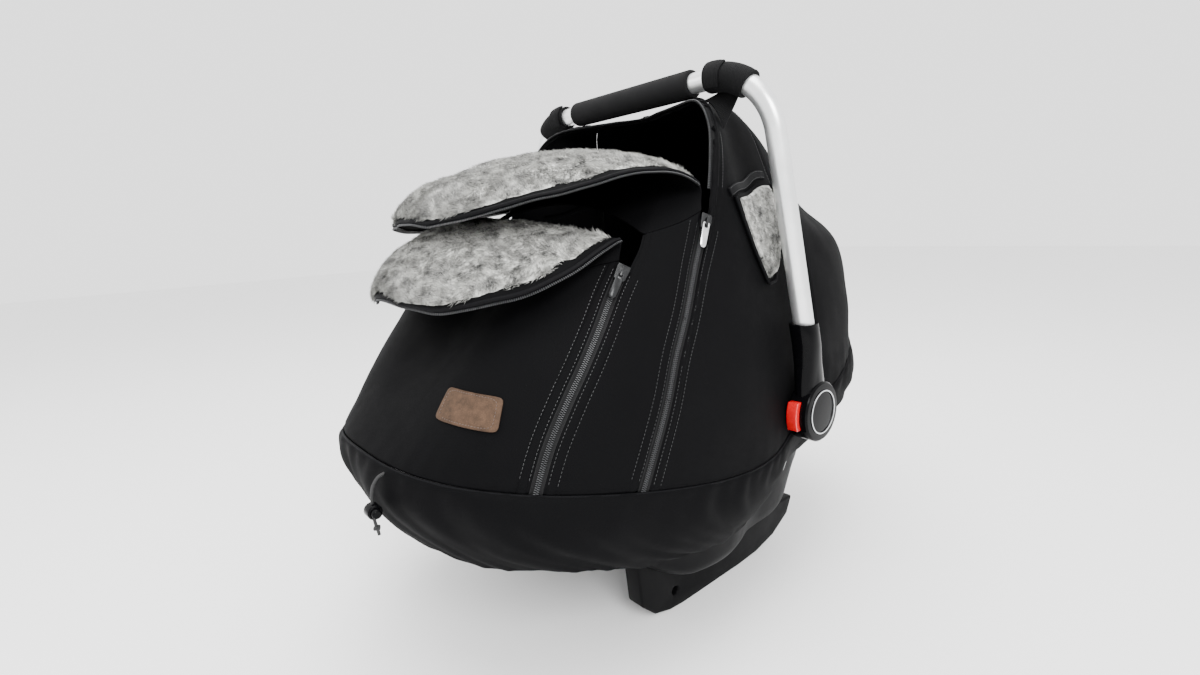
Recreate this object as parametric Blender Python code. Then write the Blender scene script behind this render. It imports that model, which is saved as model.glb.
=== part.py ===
"""Winter cover drawn over an infant carrier seat, with its doorway unzipped and both flaps peeled forward.

Metres, +Z up, the foot end towards -Y, the near side towards +X. Angles are in degrees: a turn is measured
round the seat from the foot end (0) past the near side (90) to the head end (180), and a rise from the seam
that joins hood and skirt (0) to the top of the hood (90).
"""

import math

import bmesh
import bpy
import numpy as np
from mathutils import Matrix, Vector

# Plan of the seam between hood and skirt
RIM_HALF_WIDTH = 0.228
RIM_FRONT = 0.345
RIM_REAR = 0.384
RIM_CENTRE_Y = -0.055
PLAN_ROUNDNESS = 2.6
SEAM_FRONT_Z = 0.253
SEAM_SIDE_Z = 0.192
SEAM_REAR_Z = 0.308

# Top of the hood, and how full its sections are at the foot end, the sides and the head end
APEX_Y = -0.005
HOOD_BELOW_BAR = 0.019
FULLNESS = (1.04, 2.85, 2.7)
SIDE_LEAN_SHARE = 0.164
HUB_TUCK_SHARE = 0.078
HUB_TUCK_TURN = 116.0
HUB_TUCK_SPREAD = 17.0
SHOULDER_FULLNESS = 2.05
SHOULDER_TURN = 87.1
SHOULDER_TURN_SPREAD = 12.0
SHOULDER_RISE = 51.2
SHOULDER_RISE_SPREAD = 17.0

# Cloth
PANEL_THICKNESS = 0.0040
FLAP_THICKNESS = 0.0025
FLEECE_THICKNESS = 0.0070
TOUCH_GAP = 0.0003

# Zips: half the width left between the panels, then the tape and the raised chain
ZIP_HALF_CHANNEL = 0.0060
ZIP_TAPE_DEPTH = 0.0025
ZIP_TAPE_TOP = 0.0010
CHAIN_HALF_WIDTH = 0.0026
CHAIN_TOP = 0.0015
OUTER_ZIP = ((51.5, 0), (54.5, 6), (58, 12.5), (61, 18.5), (65, 24), (70, 30.5), (77, 37))
INNER_ZIP = ((34, 0), (36, 7), (38.5, 13), (41, 18), (43.5, 23), (46, 28), (49, 32.5))
DOORWAY_EDGE = (
    (77, 37),
    (80, 40),
    (83, 43.5),
    (86, 47),
    (87.6, 50),
    (89, 53),
    (92, 58),
    (96, 65),
    (102, 74),
    (110, 80),
    (135, 85.5),
    (180, 88),
)
BACK_SEAM = ((127, 0), (127, 20), (126.5, 38), (123, 52), (112, 66), (101, 72.8))

# Skirt below the seam
SKIRT_DROPS = (0.087, 0.088, 0.048, 0.088)
SKIRT_DROP_TURNS = (0.0, 80.0, 120.0, 180.0)
SKIRT_TUCK_SHARE = 0.34
SKIRT_BULGE = 0.007
SKIRT_FOLD_DEPTH = 0.0065
SKIRT_FOLD_COUNT = 11
ELASTIC_RADIUS = 0.0026

# Carrier shell and the runners under it
SHELL_WALL = 0.0060
SHELL_INSET = 0.0104
SHELL_FLARE_SHARE = 0.70
SHELL_FLARE_DEPTH = 0.090
SHELL_BOTTOM_Z = 0.055
SHELL_NOSE_LIFT = 0.065
SHELL_RISE = 0.060
PAD_THICKNESS = 0.0120
RUNNER_MIDDLE_X = 0.128
RUNNER_WIDTH = 0.024
RUNNER_NOSE_Y = -0.165
RUNNER_FLAT_FRONT_Y = -0.094
RUNNER_FLAT_REAR_Y = 0.030
RUNNER_TAIL_Y = 0.150
RUNNER_HOLE_RADIUS = 0.0055

# Carry handle: hub centre, crossbar and tube
HUB_Y = 0.051
HUB_Z = 0.228
HUB_RADIUS = 0.036
HUB_CLEARANCE = 0.0013
HUB_WIDTH = 0.025
HUB_INNER_X = RIM_HALF_WIDTH * (1 - HUB_TUCK_SHARE) + HUB_CLEARANCE
HUB_OUTER_X = HUB_INNER_X + HUB_WIDTH
BAR_Y = -0.015
BAR_Z = 0.609
APEX_Z = BAR_Z - HOOD_BELOW_BAR
LEG_IN_HUB = 0.011
LEG_FOOT_X = HUB_INNER_X + LEG_IN_HUB
LEG_LEAN = 0.0216
CORNER_X = LEG_FOOT_X - LEG_LEAN
CORNER_RADIUS = 0.071
TUBE_RADIUS = 0.0115
TUBE_BORE_CLEARANCE = 0.0003
SOCKET_TOP_Z = 0.335
TUBE_FOOT_Z = 0.310
GRIP_HALF_LENGTH = 0.105
GRIP_RADIUS = 0.0158
PIN_RADIUS = 0.0080
PIN_CLEARANCE = 0.0003


def hex_to_linear(colour):
    """Linear RGBA of an sRGB hex colour."""
    channels = [int(colour[i : i + 2], 16) / 255 for i in (1, 3, 5)]
    return [c / 12.92 if c <= 0.04045 else ((c + 0.055) / 1.055) ** 2.4 for c in channels] + [1.0]


FINISHES = {
    "softshell": ("#151617", 0.75, 0.0),
    "lining": ("#A9A9A7", 0.95, 0.0),
    "tape": ("#0E0E0F", 0.65, 0.0),
    "elastic": ("#121213", 0.80, 0.0),
    "patch": ("#7A6152", 0.60, 0.0),
    "shell": ("#1A1B1C", 0.50, 0.0),
    "liner": ("#202122", 0.90, 0.0),
    "label": ("#9B9C9C", 0.45, 0.0),
    "gloss": ("#0B0C0D", 0.15, 0.0),
    "chrome": ("#C9CBCD", 0.20, 1.0),
    "tube": ("#D9DBDC", 0.28, 0.9),
    "foam": ("#131314", 0.90, 0.0),
    "button": ("#C3161C", 0.25, 0.0),
    "puller": ("#B9BBBD", 0.35, 0.8),
    "dark_puller": ("#1B1B1C", 0.35, 0.4),
    "steel": ("#8E9092", 0.30, 1.0),
}


def finish_material(name, finish):
    """The piece's own material."""
    colour, roughness, metallic = FINISHES[finish]
    material = bpy.data.materials.new(name)
    material.use_nodes = True
    shader = material.node_tree.nodes["Principled BSDF"]
    shader.inputs["Base Color"].default_value = hex_to_linear(colour)
    shader.inputs["Roughness"].default_value = roughness
    shader.inputs["Metallic"].default_value = metallic
    material.diffuse_color = hex_to_linear(colour)
    return material


SMOOTH_EDGE_ANGLE = math.radians(38)


def add_piece(name, points, faces, finish, axis=None):
    """One closed solid under its own name, held by its joint's axis empty where it moves."""
    points = np.asarray(points, float).reshape(-1, 3)
    holder = axis or bpy.data.objects["assembly"]
    to_local = np.array(holder.matrix_world.inverted())
    local = points @ to_local[:3, :3].T + to_local[:3, 3]
    mesh = bpy.data.meshes.new(name)
    mesh.from_pydata(local.tolist(), [], [list(face) for face in faces])
    work = bmesh.new()
    work.from_mesh(mesh)
    bmesh.ops.recalc_face_normals(work, faces=work.faces)
    work.to_mesh(mesh)
    work.free()
    mesh.shade_smooth()
    mesh.set_sharp_from_angle(angle=SMOOTH_EDGE_ANGLE)
    mesh.materials.append(finish_material(name, finish))
    piece = bpy.data.objects.new(name, mesh)
    bpy.context.collection.objects.link(piece)
    piece.parent = holder
    return piece


def add_axis(name, point, direction, parent=None):
    """An empty on a joint's axis, its Z along the axis."""
    holder = parent or bpy.data.objects["assembly"]
    turn = Vector(direction).to_track_quat("Z", "Y").to_matrix().to_4x4()
    empty = bpy.data.objects.new(name, None)
    bpy.context.collection.objects.link(empty)
    empty.parent = holder
    empty.matrix_local = holder.matrix_world.inverted() @ Matrix.Translation(Vector(point)) @ turn
    bpy.context.view_layer.update()
    return empty


def hide_helper(helper):
    """Keeps a cutter or a half to be joined out of the build."""
    helper.hide_render = True
    helper.display_type = "WIRE"
    return helper


def cut(piece, cutter):
    """Removes the cutter's volume from the piece."""
    modifier = piece.modifiers.new(cutter.name, "BOOLEAN")
    modifier.operation = "DIFFERENCE"
    modifier.solver = "EXACT"
    modifier.object = hide_helper(cutter)


def fuse(piece, half):
    """Joins a second closed shape to the piece."""
    modifier = piece.modifiers.new(half.name, "BOOLEAN")
    modifier.operation = "UNION"
    modifier.solver = "EXACT"
    modifier.object = hide_helper(half)


def mirrored(points, side):
    """The points, or their mirror image on the far side."""
    return np.asarray(points, float) * np.array([side, 1.0, 1.0])


def slab(outer, inner, wrapped=False, split=False):
    """Points and faces of a sheet between two grids of points, closed round its edges.

    A split sheet has its quads cut along diagonals that are alike on both sides of the middle, so that
    two sheets on the same grid never cross.
    """
    across, along = outer.shape[:2]
    points = np.concatenate([outer.reshape(-1, 3), inner.reshape(-1, 3)])
    offset = across * along

    def at(layer, i, j):
        return layer * offset + (i % across) * along + j

    faces = []
    for i in range(across if wrapped else across - 1):
        for j in range(along - 1):
            corners = [(i, j), (i + 1, j), (i + 1, j + 1), (i, j + 1)]
            loops = [corners]
            if split:
                first = 1 if 2 * i < across - 1 else 0
                turned_round = corners[first:] + corners[:first]
                loops = [turned_round[:3], [turned_round[2], turned_round[3], turned_round[0]]]
            for loop in loops:
                faces.append([at(0, *corner) for corner in loop])
                faces.append([at(1, *corner) for corner in reversed(loop)])
        for j in (0, along - 1):
            faces.append([at(0, i, j), at(1, i, j), at(1, i + 1, j), at(0, i + 1, j)])
    if not wrapped:
        for j in range(along - 1):
            for i in (0, across - 1):
                faces.append([at(0, i, j), at(0, i, j + 1), at(1, i, j + 1), at(1, i, j)])
    return points, faces


def ladder(size):
    """Faces across a ring that is alike on both sides, from its first point to the one opposite."""
    half = size // 2
    rungs = [[i, i + 1, size - i - 1, size - i] for i in range(1, half - 1)]
    return [[0, 1, size - 1], *rungs, [half - 1, half, half + 1]]


def loft(rings, closed=False, laddered=False):
    """Points and faces of a solid through rings of points, capped at both ends or joined into a ring.

    Laddered walls are split the same way going up and coming down, so that two of them nest.
    """
    rings = np.asarray(rings, float)
    count, size = rings.shape[:2]
    faces = []
    for i in range(count if closed else count - 1):
        following = (i + 1) % count
        climbing = rings[following, :, 2].sum() >= rings[i, :, 2].sum()
        for j in range(size):
            k = (j + 1) % size
            a, b, c, d = i * size + j, following * size + j, following * size + k, i * size + k
            if not laddered:
                faces.append([a, b, c, d])
            elif climbing:
                faces.extend([[a, b, c], [a, c, d]])
            else:
                faces.extend([[a, b, d], [b, c, d]])
    if not closed:
        for cap in ladder(size) if laddered else [list(range(size))]:
            faces.append(cap)
            faces.append([(count - 1) * size + j for j in reversed(cap)])
    return rings.reshape(-1, 3), faces


def unit(vectors):
    """Vectors brought to length 1."""
    vectors = np.asarray(vectors, float)
    return vectors / np.linalg.norm(vectors, axis=-1, keepdims=True)


def sweep_rings(path, normals, section, closed=False):
    """One ring of the section at each point of the path, the section given along the side and the normal."""
    path = np.asarray(path, float)
    if closed:
        tangents = np.roll(path, -1, 0) - np.roll(path, 1, 0)
    else:
        tangents = np.gradient(path, axis=0)
    tangents = unit(tangents)
    normals = np.asarray(normals, float)
    normals = unit(normals - (normals * tangents).sum(-1, keepdims=True) * tangents)
    sides = np.cross(normals, tangents)
    section = np.asarray(section, float)
    if section.ndim == 2:
        section = np.repeat(section[None], len(path), 0)
    return (
        path[:, None]
        + section[..., :1] * sides[:, None]
        + section[..., 1:] * normals[:, None]
    )


def round_section(radius, sides):
    """A circle as a section of a sweep."""
    angles = np.arange(sides) * 2 * math.pi / sides
    return radius * np.stack([np.cos(angles), np.sin(angles)], -1)


def sleeve(path, normals, outer_section, inner_section):
    """A hollow tube with flat ring-shaped ends."""
    outer = sweep_rings(path, normals, outer_section)
    inner = sweep_rings(path, normals, inner_section)
    rings, size = outer.shape[:2]
    points = np.concatenate([outer.reshape(-1, 3), inner.reshape(-1, 3)])
    shift = rings * size
    faces = []
    for i in range(rings - 1):
        for j in range(size):
            k = (j + 1) % size
            wall = [i * size + j, (i + 1) * size + j, (i + 1) * size + k, i * size + k]
            faces.append(wall)
            faces.append([shift + index for index in reversed(wall)])
    for i in (0, rings - 1):
        for j in range(size):
            k = (j + 1) % size
            faces.append([i * size + j, i * size + k, shift + i * size + k, shift + i * size + j])
    return points, faces


NEARLY_UPRIGHT = 0.9


def turned(profile, centre, axis, sides):
    """A turned solid. The profile lists radius and height along the axis, from one face to the other."""
    axis = unit(axis)
    helper = np.array([0.0, 0.0, 1.0]) if abs(axis[2]) < NEARLY_UPRIGHT else np.array([0.0, 1.0, 0.0])
    first = unit(np.cross(helper, axis))
    second = np.cross(axis, first)
    rings = []
    for radius, height in profile:
        circle = round_section(radius, sides)
        rings.append(np.asarray(centre) + height * axis + circle[:, :1] * first + circle[:, 1:] * second)
    return loft(rings)


def ease(share):
    """A share from 0 to 1 with flat ends."""
    share = np.clip(share, 0, 1)
    return share * share * (3 - 2 * share)


def through(table, share):
    """Smooth curve through the table's rows, at a share of the way along it."""
    rows = np.asarray(table, float)
    place = np.clip(np.asarray(share, float), 0, 1) * (len(rows) - 1)
    start = np.minimum(place.astype(int), len(rows) - 2)
    local = place - start
    padded = np.concatenate([2 * rows[:1] - rows[1:2], rows, 2 * rows[-1:] - rows[-2:-1]])
    p0, p1, p2, p3 = (padded[start + step] for step in range(4))
    shape = local.shape + (1,) * (rows.ndim - 1)
    t = local.reshape(shape)
    return 0.5 * (
        2 * p1 + (p2 - p0) * t + (2 * p0 - 5 * p1 + 4 * p2 - p3) * t**2 + (3 * p1 - p0 - 3 * p2 + p3) * t**3
    )


RIGHT_ANGLE = 90.0
HALF_TURN = 180.0
FULL_TURN = 360.0
REAR_SEAM_CURVE = 1.3
LEAST_SHARE = 1e-9


def around(turn, front, side, rear):
    """A value that passes from the foot end to the sides and on to the head end."""
    share = np.abs(turn) / RIGHT_ANGLE
    return front + (side - front) * ease(share) + (rear - side) * ease(share - 1)


def seam_height(turn):
    """Height of the seam at a turn."""
    share = np.abs(turn) / RIGHT_ANGLE
    front = SEAM_FRONT_Z + (SEAM_SIDE_Z - SEAM_FRONT_Z) * ease(share)
    rear = SEAM_SIDE_Z + (SEAM_REAR_Z - SEAM_SIDE_Z) * ease(share - 1) ** REAR_SEAM_CURVE
    return np.where(share <= 1, front, rear)


def rim_reach(turn):
    """Distance of the seam from the rim's centre at a turn, tucked in beside the handle's hubs."""
    angle = np.radians(turn)
    length = np.where(np.abs(turn) <= RIGHT_ANGLE, RIM_FRONT, RIM_REAR)
    wide = np.abs(np.sin(angle) / RIM_HALF_WIDTH) ** PLAN_ROUNDNESS
    long = np.abs(np.cos(angle) / length) ** PLAN_ROUNDNESS
    return (wide + long) ** (-1 / PLAN_ROUNDNESS)


def hub_tuck(turn, lowness):
    """Factor that draws the cloth in beside a hub, strongest low down."""
    nearness = np.exp(-(((np.abs(turn) - HUB_TUCK_TURN) / HUB_TUCK_SPREAD) ** 2))
    return 1 - HUB_TUCK_SHARE * nearness * lowness**2


def skin(turn, rise):
    """Points of the hood's outer skin."""
    turn, rise = np.broadcast_arrays(np.asarray(turn, float), np.asarray(rise, float))
    turn = (turn + HALF_TURN) % FULL_TURN - HALF_TURN
    angle, lift = np.radians(turn), np.radians(rise)
    low = np.maximum(np.cos(lift), LEAST_SHARE)
    high = np.maximum(np.sin(lift), LEAST_SHARE)
    shoulder = np.exp(-(((np.abs(turn) - SHOULDER_TURN) / SHOULDER_TURN_SPREAD) ** 2))
    shoulder = shoulder * np.exp(-(((rise - SHOULDER_RISE) / SHOULDER_RISE_SPREAD) ** 2))
    fullness = around(turn, *FULLNESS) + SHOULDER_FULLNESS * shoulder
    stretch = (low**fullness + high**fullness) ** (-1 / fullness)
    inward, upward = low * stretch, high * stretch
    lean = around(turn, 0, SIDE_LEAN_SHARE, 0)
    reach = rim_reach(turn) * inward * (1 - lean * upward) * hub_tuck(turn, low)
    seam = seam_height(turn)
    middle = RIM_CENTRE_Y + (APEX_Y - RIM_CENTRE_Y) * (1 - inward)
    return np.stack(
        [reach * np.sin(angle), middle - reach * np.cos(angle), seam + (APEX_Z - seam) * upward], -1
    )


ANGLE_STEP = 0.4


def skin_slopes(turn, rise):
    """How the skin's points move per degree of turn and of rise, and its outward normal."""
    rise = np.maximum(rise, ANGLE_STEP)
    by_turn = (skin(turn + ANGLE_STEP, rise) - skin(turn - ANGLE_STEP, rise)) / (2 * ANGLE_STEP)
    by_rise = (skin(turn, rise + ANGLE_STEP) - skin(turn, rise - ANGLE_STEP)) / (2 * ANGLE_STEP)
    return by_turn, by_rise, unit(np.cross(by_turn, by_rise))


def off_skin(turn, rise, distance):
    """Points a distance out from the skin. Along the seam the way out is level, so that edges there meet."""
    turn, rise = np.broadcast_arrays(np.asarray(turn, float), np.asarray(rise, float))
    normals = skin_slopes(turn, rise)[2]
    level = unit(normals * np.array([1.0, 1.0, 0.0]))
    normals = np.where((rise < ANGLE_STEP)[..., None], level, normals)
    return skin(turn, rise) + np.asarray(distance)[..., None] * normals


def beside(path, distance):
    """A path on the skin moved sideways by a real distance, towards the middle of the doorway where positive."""
    path = np.asarray(path, float)
    by_turn, by_rise, normals = skin_slopes(path[:, 0], path[:, 1])
    steps = np.gradient(path, axis=0)
    tangents = unit(by_turn * steps[:, :1] + by_rise * steps[:, 1:])
    wanted = distance * np.cross(normals, tangents)
    moved = []
    for one, two, target, place in zip(by_turn, by_rise, wanted, path):
        basis = np.stack([one, two], -1)
        shift = np.linalg.lstsq(basis, target, rcond=None)[0]
        moved.append([place[0] + shift[0], max(place[1] + shift[1], 0.0)])
    return np.array(moved)


def panel(name, turns, rises, finish="softshell", thickness=PANEL_THICKNESS):
    """A cloth panel on the skin over a grid of turns and rises."""
    outer = off_skin(turns, rises, np.zeros_like(turns))
    inner = off_skin(turns, rises, np.full_like(turns, -thickness))
    return add_piece(name, *slab(outer, inner), finish)


INNER_ROWS = 11
OUTER_ROWS = 13
FRONT_COLUMNS = 15
STRIP_COLUMNS = 5
SIDE_COLUMNS = 14
BACK_COLUMNS = 19
STRIP_TOP = ((51.2, 35.0), (52.4, 37.2))


def inner_zip_path():
    """The inner zip from the seam to its slider."""
    return through(INNER_ZIP, np.linspace(0, 1, INNER_ROWS))


def outer_zip_path():
    """The outer zip from the seam to its slider."""
    return through(OUTER_ZIP, np.linspace(0, 1, OUTER_ROWS))


def front_panel():
    """The panel inside the inner zip, up to the lower flap's fold."""
    edge = beside(inner_zip_path(), ZIP_HALF_CHANNEL)
    across = np.linspace(-1, 1, FRONT_COLUMNS)
    turns = across[:, None] * edge[None, :, 0]
    rises = np.broadcast_to(edge[None, :, 1], turns.shape)
    panel("front_panel", turns, rises)


def strip_edges():
    """Both edges of the strip between the zips, as paths of turn and rise."""
    inner = beside(np.concatenate([inner_zip_path(), STRIP_TOP]), -ZIP_HALF_CHANNEL)
    outer = beside(outer_zip_path(), ZIP_HALF_CHANNEL)
    return inner, outer


def strip_panels():
    """The strips between the inner and the outer zips, one on each side."""
    inner, outer = strip_edges()
    across = np.linspace(0, 1, STRIP_COLUMNS)[:, None, None]
    grid = inner[None] + (outer - inner)[None] * across
    for side, suffix in ((1, "r"), (-1, "l")):
        panel(f"strip_panel_{suffix}", side * grid[..., 0], grid[..., 1])


DOORWAY_STEPS = 401


def doorway_run(first_turn, last_turn, count):
    """The doorway's edge between two turns, which may pass the head end, in steps of equal length."""
    near = through(DOORWAY_EDGE, np.linspace(0, 1, DOORWAY_STEPS))
    far = near[-2::-1] * np.array([-1.0, 1.0]) + np.array([FULL_TURN, 0.0])
    path = np.concatenate([near, far])
    path = path[(path[:, 0] >= first_turn) & (path[:, 0] <= last_turn)]
    points = skin(path[:, 0], path[:, 1])
    lengths = np.concatenate([[0], np.cumsum(np.linalg.norm(np.diff(points, axis=0), axis=1))])
    places = np.linspace(0, lengths[-1], count)
    return np.stack([np.interp(places, lengths, path[:, axis]) for axis in range(2)], -1)


VENT_TURNS = (96.0, 121.0)
VENT_RISES = (37.4, 40.4)
CUT_REACH = 0.012
CUT_GRID = (7, 3)


def cutter_on_skin(name, turns, rises):
    """A block that passes through the skin over a small patch of it."""
    columns, rows = CUT_GRID
    grid_turns, grid_rises = np.meshgrid(
        np.linspace(*turns, columns), np.linspace(*rises, rows), indexing="ij"
    )
    outer = off_skin(grid_turns, grid_rises, np.full_like(grid_turns, CUT_REACH))
    inner = off_skin(grid_turns, grid_rises, np.full_like(grid_turns, -CUT_REACH))
    return add_piece(name, *slab(outer, inner), "softshell")


HUB_HOLE_CLEARANCE = 0.0030
HUB_HOLE_SIDES = 16


def hub_hole_cutter(name, side, radius):
    """A cylinder along the hub's axis through the wall beside it."""
    profile = ((radius, -HUB_RADIUS), (radius, HUB_RADIUS))
    centre = (side * HUB_INNER_X, HUB_Y, HUB_Z)
    return add_piece(name, *turned(profile, centre, (1, 0, 0), HUB_HOLE_SIDES), "softshell")


def back_seam_path():
    """The seam behind the handle, from the skirt up to the doorway's edge."""
    return through(BACK_SEAM, np.linspace(0, 1, OUTER_ROWS))


def side_panels():
    """Hood sides, from the outer zip back to the seam behind the handle, with vent slot and hub hole."""
    left = beside(outer_zip_path(), -ZIP_HALF_CHANNEL)
    right = back_seam_path()
    top = beside(doorway_run(DOORWAY_EDGE[0][0], right[-1, 0], SIDE_COLUMNS), -ZIP_HALF_CHANNEL)
    left[-1] = top[0] = (left[-1] + top[0]) / 2
    right[-1] = top[-1]
    bottom = np.stack([np.linspace(left[0, 0], right[0, 0], SIDE_COLUMNS), np.zeros(SIDE_COLUMNS)], -1)
    grid = coons(bottom, top, left, right)
    for side, suffix in ((1, "r"), (-1, "l")):
        piece = panel(f"side_panel_{suffix}", side * grid[..., 0], grid[..., 1])
        vent_turns = [side * turn for turn in VENT_TURNS]
        cut(piece, cutter_on_skin(f"vent_cut_{suffix}", vent_turns, VENT_RISES))
        cut(piece, hub_hole_cutter(f"hub_cut_{suffix}", side, PIN_RADIUS + HUB_HOLE_CLEARANCE))


BACK_SEAM_GAP_TURN = 0.12


def back_panel():
    """The head end of the hood, one panel from seam to seam."""
    left = back_seam_path()
    top = beside(doorway_run(left[-1, 0], FULL_TURN - left[-1, 0], BACK_COLUMNS), -ZIP_HALF_CHANNEL)
    left[-1] = top[0]
    left[:, 0] += BACK_SEAM_GAP_TURN
    right = left * np.array([-1.0, 1.0]) + np.array([FULL_TURN, 0.0])
    top[0], top[-1] = left[-1], right[-1]
    bottom = np.stack([np.linspace(left[0, 0], right[0, 0], BACK_COLUMNS), np.zeros(BACK_COLUMNS)], -1)
    grid = coons(bottom, top, left, right)
    panel("back_panel", grid[..., 0], grid[..., 1])


def coons(bottom, top, left, right):
    """A grid filled between four edges that share their corners."""
    u = np.linspace(0, 1, len(bottom))[:, None, None]
    v = np.linspace(0, 1, len(left))[None, :, None]
    ruled_v = (1 - v) * bottom[:, None] + v * top[:, None]
    ruled_u = (1 - u) * left[None] + u * right[None]
    corners = (
        (1 - u) * (1 - v) * bottom[0]
        + u * (1 - v) * bottom[-1]
        + (1 - u) * v * top[0]
        + u * v * top[-1]
    )
    return ruled_v + ruled_u - corners


SKIRT_COLUMNS = 84
SKIRT_ROWS = 6
SKIRT_THICKNESS = 0.0030
SKIRT_SEAM_GAP = 0.0008
SKIRT_TUCK_CURVE = 1.7
SKIRT_CALM_SPREAD = 20.0
SKIRT_CALM_SHARE = 0.95
SKIRT_FOLD_SHIFT = 1.3
HEM_WAVE = 0.006
ELASTIC_SIDES = 5


def skirt_points(turns, shares, depth):
    """Points of the skirt at shares of its drop, a depth in from its outer face."""
    drop = np.interp(np.abs(turns), SKIRT_DROP_TURNS, SKIRT_DROPS)
    calm = 1 - SKIRT_CALM_SHARE * np.exp(-(((np.abs(turns) - HUB_TUCK_TURN) / SKIRT_CALM_SPREAD) ** 2))
    angle = np.radians(turns)
    wave = np.sin(SKIRT_FOLD_COUNT * angle + SKIRT_FOLD_SHIFT * np.sin(2 * angle))
    reach = rim_reach(turns) * hub_tuck(turns, 1.0)
    reach = reach + calm * SKIRT_BULGE * np.sin(math.pi * shares) - SKIRT_TUCK_SHARE * drop * shares**SKIRT_TUCK_CURVE
    reach = reach + calm * SKIRT_FOLD_DEPTH * wave * shares - depth
    height = seam_height(turns) - SKIRT_SEAM_GAP - drop * shares + calm * HEM_WAVE * wave * shares**2
    return np.stack([reach * np.sin(angle), RIM_CENTRE_Y - reach * np.cos(angle), height], -1)


def wrapped_turns(count):
    """Evenly spaced turns all the way round."""
    return np.arange(count) * FULL_TURN / count - HALF_TURN


def skirt():
    """The skirt in one gathered ring, with the elastic that draws it in under the shell."""
    turns = np.repeat(wrapped_turns(SKIRT_COLUMNS)[:, None], SKIRT_ROWS, 1)
    shares = np.repeat(np.linspace(0, 1, SKIRT_ROWS)[None], SKIRT_COLUMNS, 0)
    outer = skirt_points(turns, shares, 0.0)
    inner = skirt_points(turns, shares, SKIRT_THICKNESS)
    add_piece("skirt", *slab(outer, inner, wrapped=True), "softshell")
    turns = wrapped_turns(SKIRT_COLUMNS)
    depth = SKIRT_THICKNESS + 2 * TOUCH_GAP + ELASTIC_RADIUS
    path = skirt_points(turns, np.ones(SKIRT_COLUMNS), depth)
    upward = np.tile([0.0, 0.0, 1.0], (SKIRT_COLUMNS, 1))
    rings = sweep_rings(path, upward, round_section(ELASTIC_RADIUS, ELASTIC_SIDES), closed=True)
    add_piece("hem_elastic", *loft(rings, closed=True), "elastic")


ZIP_SIDE_GAP = 0.0006
ZIP_END_SHARES = (0.030, 0.975)


def zip_section():
    """Half-sewn tapes with the closed chain standing on them."""
    tape = ZIP_HALF_CHANNEL - ZIP_SIDE_GAP
    foot = -ZIP_TAPE_TOP
    return [
        (-tape, -ZIP_TAPE_TOP - ZIP_TAPE_DEPTH),
        (tape, -ZIP_TAPE_TOP - ZIP_TAPE_DEPTH),
        (tape, foot),
        (CHAIN_HALF_WIDTH, foot),
        (CHAIN_HALF_WIDTH - TOUCH_GAP, CHAIN_TOP),
        (-CHAIN_HALF_WIDTH + TOUCH_GAP, CHAIN_TOP),
        (-CHAIN_HALF_WIDTH, foot),
        (-tape, foot),
    ]


def closed_zips():
    """The four closed runs of zip, from the seam up to their sliders."""
    for label, table, path in (
        ("outer", OUTER_ZIP, outer_zip_path()),
        ("inner", INNER_ZIP, inner_zip_path()),
    ):
        path[0] = through(table, ZIP_END_SHARES[0])
        path[-1] = through(table, ZIP_END_SHARES[1])
        points = skin(path[:, 0], path[:, 1])
        normals = skin_slopes(path[:, 0], path[:, 1])[2]
        rings = sweep_rings(points, normals, zip_section())
        for side, suffix in ((1, "r"), (-1, "l")):
            add_piece(f"{label}_zip_{suffix}", *loft(mirrored(rings, side)), "tape")


EDGE_TAPE_INNER = 0.0052
EDGE_TAPE_OUTER = 0.0020
EDGE_TAPE_THICKNESS = 0.0022
EDGE_TAPE_COLUMNS = 41
EDGE_TAPE_START_TURN = 79.5


def doorway_tape():
    """The open half of the outer zip, sewn round the doorway's edge over the top."""
    path = doorway_run(EDGE_TAPE_START_TURN, FULL_TURN - EDGE_TAPE_START_TURN, EDGE_TAPE_COLUMNS)
    points = skin(path[:, 0], path[:, 1])
    normals = skin_slopes(path[:, 0], path[:, 1])[2]
    section = [
        (-EDGE_TAPE_INNER, -EDGE_TAPE_THICKNESS),
        (EDGE_TAPE_OUTER, -EDGE_TAPE_THICKNESS),
        (EDGE_TAPE_OUTER, 0.0),
        (-EDGE_TAPE_INNER, 0.0),
    ]
    add_piece("doorway_tape", *loft(sweep_rings(points, normals, section)), "tape")


ZIP_PATH_STEPS = 241


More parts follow.
